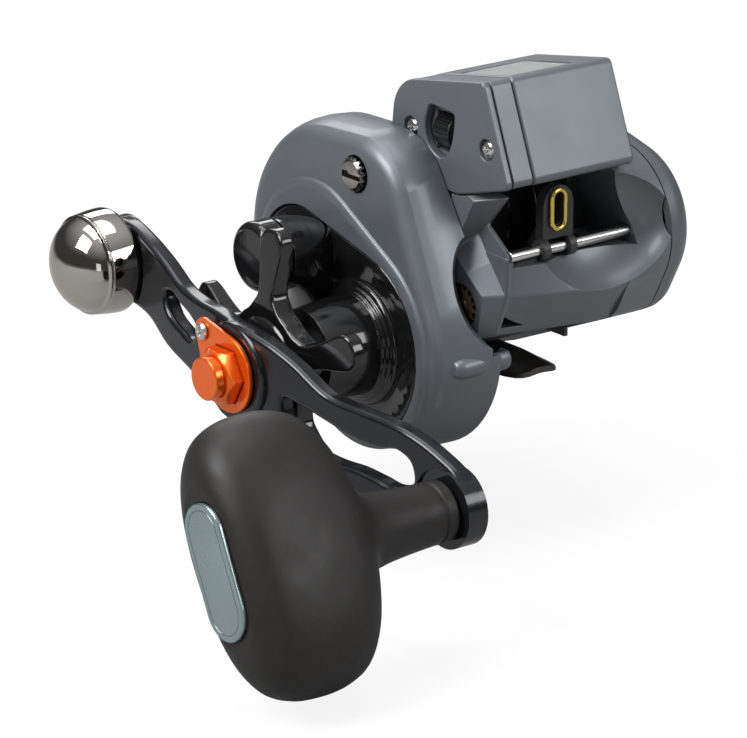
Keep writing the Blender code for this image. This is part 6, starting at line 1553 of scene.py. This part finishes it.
@dataclass
class PalmCover:
    """The domed palm side cover with its clicker button."""

    reel: Reel
    rows: tuple[Pair, ...] = ((0.0222, 0.0), (0.0250, 0.0003), (0.0275, 0.0018), (0.0290, 0.0045),
                              (0.0297, 0.0085))
    hollow_rows: tuple[Pair, ...] = ((0.0192, 0.0016), (0.0250, 0.0022), (0.0278, 0.0067))
    spool_boss: Row = (0.0189, 0.0286, 0.0052)
    spool_bores: tuple[Row, ...] = ((0.0159, 0.0218, 0.0041), (0.0189, 0.0249, 0.0032))
    slot_x: Pair = (0.0250, 0.0327)
    slot_centre: Pair = (0.0080, 0.0060)
    slot_half: Pair = (0.0040, 0.0012)
    button_base_x: float = 0.0300
    button_edge: float = 0.0005
    stem_inset: float = 0.0008
    groove: Pair = (0.0003, 0.0002)

    def build(self) -> None:
        """Build the cover, its slot and the button."""
        lobes = self.reel.palm_lobes
        rows = smooth_rows(self.rows, 6)
        cover = lofted([at(x, belt(lobes, inset)) for x, inset in rows])
        hollow = lofted([at(x, belt(lobes, inset)) for x, inset in self.hollow_rows])
        cover = settled(cut(cover, hollow))
        join(cover, rod(*self.spool_boss, self.reel.spool_axis))
        cut(cover, *(rod(*bore, self.reel.spool_axis) for bore in self.spool_bores))
        start, end = self.slot_x
        y, z = self.slot_centre
        half_length, half_width = self.slot_half
        cut(cover, box((start, y - half_length, z - half_width), (end, y + half_length, z + half_width)))
        dress(cover, "palm_side_cover_form", PAINT, "frame", ["palm_side_cover"], 26.0)
        low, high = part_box("clicker_button")
        base, inset, edge = self.button_base_x, self.stem_inset, self.button_edge
        button = box((base, low.y, low.z), (high.x, high.y, high.z))
        work = bmesh.new()
        work.from_mesh(button.data)
        bmesh.ops.bevel(work, geom=list(work.edges), offset=edge, segments=3, profile=0.5,
                        affect="EDGES", material=-1)
        work.to_mesh(button.data)
        work.free()
        depth, half = self.groove
        for index in range(3):
            place = low.y + (high.y - low.y) * (index + 1) / 4
            cut(button, box((high.x - depth, place - half, low.z + edge),
                            (high.x + OVERRUN, place + half, high.z - edge)))
        stem = box((start, low.y + inset, low.z + inset),
                   (base + 2 * GAP, high.y - inset, high.z - inset))
        dress(join(settled(button), stem), "clicker_slide", GLOSS_BLACK, "clicker", ["clicker_button"])


@dataclass
class Counter:
    """The counter housing with its window, wheels, screws and reset wheel."""

    reel: Reel
    end_x: tuple[float, float] = (-0.0160, -0.0144)
    base_x: tuple[float, float] = (-0.0141, -0.0095)
    cover_x: tuple[float, float] = (-0.0092, 0.0154)
    wall: float = 0.0016
    window_half: float = 0.0076
    window_span: tuple[float, float] = (0.0036, 0.0172)
    lens_depth: float = 0.0009
    wheel_radius: float = 0.0064
    wheel_width: float = 0.0042
    reset_centre: Row = (-0.0121, -0.0214, 0.0480)
    reset_radius: float = 0.0036
    reset_half: float = 0.0024
    reset_ribs: int = 18
    reset_pin: float = 0.0008
    pin_bore: float = 0.0009
    pin_reach: float = 0.0015
    axle_x: float = -0.0108
    axle_bore: float = 0.0011
    wheel_bore: float = 0.0012
    number_size: float = 0.0038
    number_height: float = 0.00004
    number_turn: float = radians(9.0)
    recess_x: float = -0.0151
    screw_bore: float = 0.0010
    recess_radii: Pair = (0.0023, 0.0021)
    recess_lip: float = 0.0002
    screw_cross: Pair = (0.0011, 0.0006)
    screw_profile: tuple[Pair, ...] = (
        (-0.0160, 0.0), (-0.0160, 0.0009), (-0.0158, 0.0014), (-0.0155, 0.0017),
        (-0.01525, 0.0017), (-0.01525, 0.0009), (-0.0104, 0.0009), (-0.0104, 0.0),
    )
    screws: tuple[tuple[str, Pair], ...] = (("counter_screw_rear", (-0.0129, 0.0473)),
                                            ("counter_screw_front", (-0.0357, 0.0478)))
    pocket: tuple[Pair, ...] = ((-0.0185, 0.0532), (-0.0262, 0.0527), (-0.0258, 0.0480), (-0.0243, 0.0445),
                                (-0.0223, 0.0430), (-0.0196, 0.0438), (-0.0176, 0.0456), (-0.0168, 0.0490))
    pocket_radii: tuple[float, ...] = (0.0012, 0.0012, 0.004, 0.003, 0.004, 0.003, 0.003, 0.004)
    pocket_centre: Pair = (-0.0218, 0.0482)
    pocket_flare: float = 0.06
    end_edge: float = 0.0004
    base_edge: float = 0.0002
    cover_edge: float = 0.0006
    window_corner: float = 0.0010
    wheels: tuple[tuple[str, str, float], ...] = (
        ("hundreds_wheel", "hundreds", -0.0050),
        ("tens_wheel", "tens", 0.0),
        ("units_wheel", "units", 0.0050),
    )

    def roof(self) -> Matrix:
        """Return the matrix whose Y runs down the roof from its front edge and whose Z stands out of it."""
        front, rear = Vector((0.0, *COUNTER_TOP_FRONT)), Vector((0.0, *COUNTER_TOP_REAR))
        along, across = (rear - front).normalized(), Vector((1.0, 0.0, 0.0))
        turn = Matrix((across, along, across.cross(along))).transposed().to_4x4()
        return Matrix.Translation(front) @ turn

    def build_end(self) -> None:
        """Build the end cover with its pocket and screw recesses."""
        first, last = self.end_x
        end = plate([counter_outline()], first, last, edge=self.end_edge, edge_steps=4)
        pocket = rounded(self.pocket, self.pocket_radii, 8)
        middle_y, middle_z = self.pocket_centre
        wide = [(y + (y - middle_y) * self.pocket_flare, z + (z - middle_z) * self.pocket_flare)
                for y, z in pocket]
        cut(end, lofted([at(first - HAIR, wide), at(first + GAP, pocket), at(last + OVERRUN, pocket)]))
        outer, inner = self.recess_radii
        for _, axis in self.screws:
            cut(end, spun([(first - HAIR, 0.0), (first - HAIR, outer), (first + self.recess_lip, inner),
                           (self.recess_x, inner), (self.recess_x, 0.0)], axis))
            cut(end, rod(first, last + OVERRUN, self.screw_bore, axis))
        dress(end, "counter_end_form", PAINT, "frame", ["counter_end_cover"], 28.0)

    def build_base(self) -> None:
        """Build the middle slice that holds the reset wheel and the axle."""
        first, last = self.base_x
        base = plate([counter_outline(HAIR)], first, last, edge=self.base_edge)
        x, y, z = self.reset_centre
        room, side = self.reset_radius + GAP, self.reset_half + GAP
        cut(base, box((first - OVERRUN, y - side, z - room), (last + OVERRUN, y + side, z + room)))
        pin = side + self.pin_reach
        cut(base, along_y(x, z, y - pin, y + pin, self.pin_bore))
        cut(base, rod(first - OVERRUN, last + OVERRUN, self.reel.spool_sweep + 2 * GAP,
                      self.reel.spool_axis, ROUND))
        cut(base, rod(self.axle_x, last + OVERRUN, self.axle_bore, self.reel.wheel_axis))
        for _, axis in self.screws:
            cut(base, rod(first - OVERRUN, last - 2 * GAP, self.screw_bore, axis))
        dress(base, "counter_base_form", PAINT, "frame", ["counter_base"], 28.0)

    def build_cover(self) -> None:
        """Build the hollow cover with its window and lens."""
        first, last = self.cover_x
        room = self.reel.spool_sweep + 2 * GAP
        cover = plate([counter_outline()], first, last, edge=self.cover_edge, edge_steps=5)
        inside = plate([counter_outline(self.wall)], first - OVERRUN, last - self.wall)
        cut(inside, rod(first - 2 * OVERRUN, last, room + self.wall, self.reel.spool_axis, ROUND))
        cut(cover, settled(inside))
        cut(cover, rod(first - OVERRUN, last + OVERRUN, room, self.reel.spool_axis, ROUND))
        low, high = self.window_span
        half, depth = self.window_half, self.lens_depth
        shapes = []
        for grow, bottom, top in ((0.0, -2 * self.wall, self.wall), (2 * GAP, -depth - GAP, self.wall),
                                  (GAP, -depth, 0.0)):
            corners = [(-half - grow, low - grow), (half + grow, low - grow), (half + grow, high + grow),
                       (-half - grow, high + grow)]
            outline = rounded(corners, [self.window_corner + grow] * 4, 6)
            shape = lofted([[(a, b, height) for a, b in outline] for height in (bottom, top)])
            shapes.append(moved(shape, self.roof()))
        hole, rebate, lens = shapes
        cut(cover, hole, rebate)
        dress(cover, "counter_cover_form", PAINT, "frame", ["counter_cover"], 28.0)
        dress(lens, "window_lens", LENS, "frame", ["counter_lens"])

    def build_wheel(self, node: str, body: str, middle: float) -> None:
        """Build a number wheel and its ten numbers.

        Args:
            node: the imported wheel.
            body: the body that it turns with.
            middle: its place along X.
        """
        axis = self.reel.wheel_axis
        half = self.wheel_width / 2
        bore, rim = self.wheel_bore, self.wheel_radius
        profile = softened([(middle - half, bore), (middle - half, rim), (middle + half, rim),
                            (middle + half, bore)], GAP)
        wheel = spun(profile, axis, closed=True)
        dress(wheel, f"{node}_form", WHEEL_WHITE, body, [node], 30.0)
        work = bmesh.new()
        for number in range(10):
            text = bpy.data.curves.new("number", "FONT")
            text.body = str(number)
            text.size = self.number_size
            text.align_x = "CENTER"
            text.align_y = "CENTER"
            text.extrude = self.number_height
            text.resolution_u = 3
            shape = bpy.data.objects.new("number", text)
            bpy.context.scene.collection.objects.link(shape)
            shape = settled(shape)
            start = len(work.verts)
            work.from_mesh(shape.data)
            bpy.data.objects.remove(shape, do_unlink=True)
            work.verts.ensure_lookup_table()
            for vertex in work.verts[start:]:
                u, v, depth = vertex.co
                angle = pi / 2 + self.number_turn + 2 * pi * number / 10 - v / rim
                reach = rim + depth
                vertex.co = (middle - u, axis[0] + reach * cos(angle), axis[1] + reach * sin(angle))
        dress(from_bmesh(work), f"{body}_numbers", INK, body)

    def build_screw(self, node: str, axis: Pair) -> None:
        """Build a cross head screw at the bottom of its recess.

        Args:
            node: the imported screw.
            axis: its axis.
        """
        screw = spun(softened(self.screw_profile, HAIR), axis)
        cut(screw, *cross_recess(self.screw_profile[0][0], axis, *self.screw_cross))
        dress(screw, f"{node}_form", STEEL, "frame", [node], 30.0)

    def build_reset(self) -> None:
        """Build the ribbed reset wheel."""
        x, y, z = self.reset_centre
        wheel = along_y(x, z, y - self.reset_half, y + self.reset_half, self.reset_radius, ROUND, GAP)
        reach = self.reset_half + 4 * GAP
        join(wheel, along_y(x, z, y - reach, y + reach, self.reset_pin))
        for turn in range(self.reset_ribs):
            angle = 2 * pi * turn / self.reset_ribs
            notch = self.reset_radius * 1.04
            cut(wheel, along_y(x + notch * cos(angle), z + notch * sin(angle), y - reach, y + reach, GAP, 10))
        dress(wheel, "reset_wheel_form", GLOSS_BLACK, "reset", ["reset_wheel"], 30.0)

    def build(self) -> None:
        """Build every piece of the counter."""
        self.build_end()
        self.build_base()
        self.build_cover()
        for wheel in self.wheels:
            self.build_wheel(*wheel)
        for screw in self.screws:
            self.build_screw(*screw)
        self.build_reset()


@dataclass
class LineGuide:
    """The rod, the carriage's eyelet and the spool behind them."""

    reel: Reel
    eyelet_x: float = -0.0004
    eyelet_z: float = 0.0342
    eyelet_length: float = 0.0085
    eyelet_width: float = 0.0041
    wire: float = 0.00044
    eyelet_gap: float = 0.0006
    rod_span: Row = (-0.0116, 0.0206, 0.0011)
    rod_edge: float = 0.0002
    spool_x: Pair = (-0.0112, 0.0122)
    spool_sizes: tuple[float, ...] = (0.0012, 0.0112, 0.0042, 0.0017)

    def build(self) -> None:
        """Build the rod, the eyelet and the spool."""
        guide = rod(*self.rod_span, self.reel.rod_axis, SMALL_ROUND, self.rod_edge)
        dress(guide, "guide_rod_form", STEEL, "frame", ["guide_rod"])
        path = capsule(self.eyelet_length - 2 * self.wire, self.eyelet_width - 2 * self.wire,
                       (self.eyelet_x, self.eyelet_z), pi / 2)
        curve = bpy.data.curves.new("eyelet", "CURVE")
        curve.dimensions = "3D"
        curve.bevel_depth = self.wire
        curve.bevel_resolution = 5
        spline = curve.splines.new("POLY")
        spline.points.add(len(path) - 1)
        y = self.reel.rod_axis[0] - self.eyelet_gap - self.wire - HAIR
        for point, (x, z) in zip(spline.points, path):
            point.co = (x, y, z, 1.0)
        spline.use_cyclic_u = True
        item = bpy.data.objects.new("eyelet", curve)
        bpy.context.scene.collection.objects.link(item)
        dress(item, "eyelet_ring_form", GOLD, "line_guide", ["eyelet_ring"], 60.0)
        self.build_spool()

    def build_spool(self) -> None:
        """Turn the spool's flanges and arbor."""
        first, last = self.spool_x
        rim, arbor, hub, bore = self.spool_sizes
        edge = self.reel.spool_radius
        profile = [(first, bore), (first, hub), (first + rim, hub + rim), (first + rim, arbor - rim),
                   (first, arbor), (first, edge), (first + rim, edge), (first + 1.6 * rim, arbor),
                   (last - 1.6 * rim, arbor), (last - rim, edge), (last, edge), (last, arbor),
                   (last - rim, arbor - rim), (last - rim, hub + rim), (last, hub), (last, bore)]
        spool = spun(softened(profile, GAP), self.reel.spool_axis, ROUND, closed=True)
        dress(spool, "spool_form", SPOOL_METAL, "spool", ["spool"], 40.0)


@dataclass
class Foot:
    """The foot under the frame."""

    reel: Reel
    front: float = -0.0335
    rear: float = 0.0315
    half_width: float = 0.0063
    top: float = 0.0021
    tip: float = 0.0012
    trough: float = 0.0011
    taper: float = 0.0130
    screw_reach: float = 0.0125
    screw_bore: float = 0.0013
    corner_radii: tuple[float, ...] = (0.0003, 0.002, 0.002, 0.0003, 0.0004,
                                       0.001, 0.001, 0.001, 0.001, 0.0004)
    width_rows: tuple[Pair, ...] = ((0.0, 0.50), (0.008, 0.66), (0.03, 0.80), (0.07, 0.90), (0.16, 1.0),
                                    (0.84, 1.0), (0.93, 0.88), (0.97, 0.77), (0.992, 0.64), (1.0, 0.48))

    def build(self) -> None:
        """Loft the foot through its sections."""
        rings = []
        length = self.rear - self.front
        for share, width in self.width_rows:
            y = self.front + share * length
            half = self.half_width * width
            rise = min(1.0, min(y - self.front, self.rear - y) / self.taper)
            crown = self.tip + (self.top - self.tip) * rise
            drop = self.trough * width * width
            corners = [(-half, -drop), (-half * 0.25, 0.0), (half * 0.25, 0.0), (half, -drop),
                       (half, -drop + self.tip * 0.8), (half * 0.6, crown - drop * 0.35),
                       (half * 0.35, crown), (-half * 0.35, crown), (-half * 0.6, crown - drop * 0.35),
                       (-half, -drop + self.tip * 0.8)]
            rings.append([(x, y, z) for x, z in rounded(corners, self.corner_radii, 3)])
        foot = lofted(rings)
        for place in (-self.screw_reach, self.screw_reach):
            cut(foot, upright(rod(-OVERRUN, OVERRUN, self.screw_bore, (0.0, 0.0)), 0.0, place))
        dress(foot, "foot_form", FOOT, "frame", ["reel_foot"], 40.0)


@dataclass
class InnerWorks:
    """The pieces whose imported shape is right, with finer shading and finish."""

    frame: dict
    trim_low: Row = (-0.0121, -FAR, -FAR)
    trim_high: Row = (0.0131, -0.0180, 0.0112)

    def build(self) -> None:
        """Refine each remaining node."""
        groups = (
            (STEEL, ("one_way_bearing", "main_bearing", "bearing_sleeve", "spring_washer",
                     "spool_bearing_handle", "spool_bearing_palm", "pinion_bearing", "main_shaft",
                     "ratchet_wheel", "knob_spindle", "spool_shaft", "worm_shaft", "clutch_yoke",
                     "foot_screw_front", "foot_screw_rear", "counter_axle")),
            (BRASS, ("worm_bushing_handle", "worm_bushing_palm", "drive_gear", "pinion", "shaft_cog",
                     "worm_gear", "click_gear", "worm_pawl")),
            (FIBRE, ("drag_washer", "idler_gear")),
            (BLACK_MOULDING, ("line_carriage", "thumb_bar")),
            (GLOSS_BLACK, ("knob_core",)),
        )
        for finish, nodes in groups:
            for node in nodes:
                refined(self.frame, node, finish)
        refined(self.frame, "main_frame", BLACK_MOULDING, shape=self.trimmed)

    def trimmed(self, casting: Item) -> Item:
        """Cut the counter's seat and the cradle's hidden front out of the casting."""
        counter_seat(casting)
        return cut(casting, box(self.trim_low, self.trim_high))


@dataclass
class Studio:
    """The floor, the light and the camera."""

    azimuth: float = radians(-37.6)
    elevation: float = radians(18.9)
    focal_pixels: float = 4200.0
    picture_width: float = 747.0
    sensor_width: float = 36.0
    clip: Pair = (0.05, 20.0)
    distance: float = 0.8077
    anchor: Row = (-0.028, -0.012, 0.0065)
    anchor_right: float = -0.00296
    anchor_up: float = 0.00540
    floor_drop: float = 0.002
    floor_radius: float = 6.0
    floor_tones: Pair = (0.32, 0.86)
    floor_glow_share: float = 0.86
    light_aim: Row = (-0.02, 0.0, 0.01)
    lights: tuple[tuple[str, Row, Pair, float], ...] = (
        ("key soft box", (-0.62, 0.06, 0.55), (0.42, 0.42), 6.8),
        ("front soft box", (0.30, -0.70, 0.38), (0.50, 0.30), 3.1),
        ("top soft box", (-0.02, 0.10, 0.80), (0.60, 0.60), 3.4),
        ("back soft box", (0.30, 0.65, 0.45), (0.40, 0.30), 1.5),
        ("low soft box", (-0.55, -0.55, 0.02), (0.20, 0.30), 0.25),
    )
    room_stops: tuple[Pair, ...] = ((0.0, 0.12), (0.47, 0.10), (0.50, 0.07), (0.66, 0.08),
                                    (0.80, 0.35), (1.0, 0.80))

    def build_camera(self) -> None:
        """Place the camera at the photograph's angle."""
        a, e = self.azimuth, self.elevation
        back = Vector((sin(a) * cos(e), -cos(a) * cos(e), sin(e)))
        right = Vector((0.0, 0.0, 1.0)).cross(back).normalized()
        up = back.cross(right)
        lens = bpy.data.cameras.new("camera")
        lens.sensor_width = self.sensor_width
        lens.lens = self.focal_pixels / self.picture_width * self.sensor_width
        lens.clip_start, lens.clip_end = self.clip
        camera = bpy.data.objects.new("camera", lens)
        bpy.context.scene.collection.objects.link(camera)
        spot = Vector(self.anchor) + back * self.distance
        camera.location = spot - right * self.anchor_right - up * self.anchor_up
        camera.rotation_mode = "QUATERNION"
        camera.rotation_quaternion = (-back).to_track_quat("-Z", "Y")
        bpy.context.scene.camera = camera

    def build_light(self, name: str, place: Row, size: Pair, power: float) -> None:
        """Add a soft box that faces the reel.

        Args:
            name: its name.
            place: where it stands.
            size: its two sides.
            power: its power in watts.
        """
        data = bpy.data.lights.new(name, "AREA")
        data.shape = "RECTANGLE"
        data.size, data.size_y = size
        data.energy = power
        lamp = bpy.data.objects.new(name, data)
        lamp.location = place
        aim = Vector(self.light_aim) - Vector(place)
        lamp.rotation_euler = aim.to_track_quat("-Z", "Y").to_euler()
        bpy.context.scene.collection.objects.link(lamp)

    def build_world(self) -> None:
        """Make the room: pale above, darker at eye height and below, white to the camera."""
        world = bpy.data.worlds.new("room")
        world.use_nodes = True
        bpy.context.scene.world = world
        tree = world.node_tree
        tree.nodes.clear()
        place = add_node(tree, "TexCoord")
        split = add_node(tree, "SeparateXYZ")
        spread = add_node(tree, "MapRange", from_min=-1.0)
        ramp = add_node(tree, "ValToRGB")
        elements = ramp.color_ramp.elements
        while len(elements) < len(self.room_stops):
            elements.new(0.5)
        for element, (position, level) in zip(elements, self.room_stops):
            element.position = position
            element.color = (level, level, level * 1.02, 1.0)
        room = add_node(tree, "Background")
        white = add_node(tree, "Background", color=WHITE)
        mix = add_node(tree, "MixShader")
        output = add_node(tree, "OutputWorld")
        link(tree, (place.outputs["Generated"], split.inputs["Vector"]),
             (split.outputs["Z"], spread.inputs["Value"]),
             (spread.outputs["Result"], ramp.inputs["Fac"]),
             (ramp.outputs["Color"], room.inputs["Color"]),
             (seen_directly(tree), mix.inputs["Fac"]),
             (room.outputs["Background"], mix.inputs[1]),
             (white.outputs["Background"], mix.inputs[2]),
             (mix.outputs["Shader"], output.inputs["Surface"]))

    def build_floor(self, lowest: float) -> None:
        """Lay a plain pale floor under the reel.

        Args:
            lowest: height of the reel's lowest point.
        """
        work = bmesh.new()
        place = Matrix.Translation((0.0, 0.0, lowest - self.floor_drop))
        bmesh.ops.create_circle(work, cap_ends=True, segments=ROUND, radius=self.floor_radius, matrix=place)
        floor = from_bmesh(work, "floor")
        made, tree, shader = new_material("pale floor")
        shader.inputs["Roughness"].default_value = 0.9
        shader.inputs["Specular IOR Level"].default_value = 0.1
        tone = add_node(tree, "Mix")
        tone.data_type = "RGBA"
        for index, level in zip((6, 7), self.floor_tones):
            tone.inputs[index].default_value = (level, level, level, 1.0)
        glow = add_node(tree, "Emission", color=WHITE)
        share = add_node(tree, "Math", "MULTIPLY")
        share.inputs[1].default_value = self.floor_glow_share
        mix = add_node(tree, "MixShader")
        seen = seen_directly(tree)
        link(tree, (seen, tone.inputs["Factor"]),
             (tone.outputs[2], shader.inputs["Base Color"]),
             (seen, share.inputs[0]),
             (share.outputs["Value"], mix.inputs["Fac"]),
             (shader.outputs["BSDF"], mix.inputs[1]),
             (glow.outputs["Emission"], mix.inputs[2]),
             (mix.outputs["Shader"], tree.nodes["Material Output"].inputs["Surface"]))
        floor.data.materials.append(made)
        floor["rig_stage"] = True

    def build(self, lowest: float) -> None:
        """Build the whole studio.

        Args:
            lowest: height of the reel's lowest point.
        """
        self.build_camera()
        for light in self.lights:
            self.build_light(*light)
        self.build_world()
        self.build_floor(lowest)
        bpy.context.scene.view_settings.view_transform = "Standard"


def main() -> None:
    """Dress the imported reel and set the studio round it."""
    logging.basicConfig(level=logging.INFO, format="%(message)s")
    for item in list(bpy.data.objects):
        bpy.data.objects.remove(item, do_unlink=True)
    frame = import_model()
    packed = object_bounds()
    reel = Reel(frame)
    for assembly in (Counterweight, Knob, HandleArm, HandleNut, StarDrag, BezelInsert, CastControl, SideCover,
                     FrontHood, PalmCover, Counter, LineGuide, Foot):
        assembly(reel).build()
    InnerWorks(frame).build()
    Studio().build(packed[0].z)


if __name__ == "__main__":
    main()
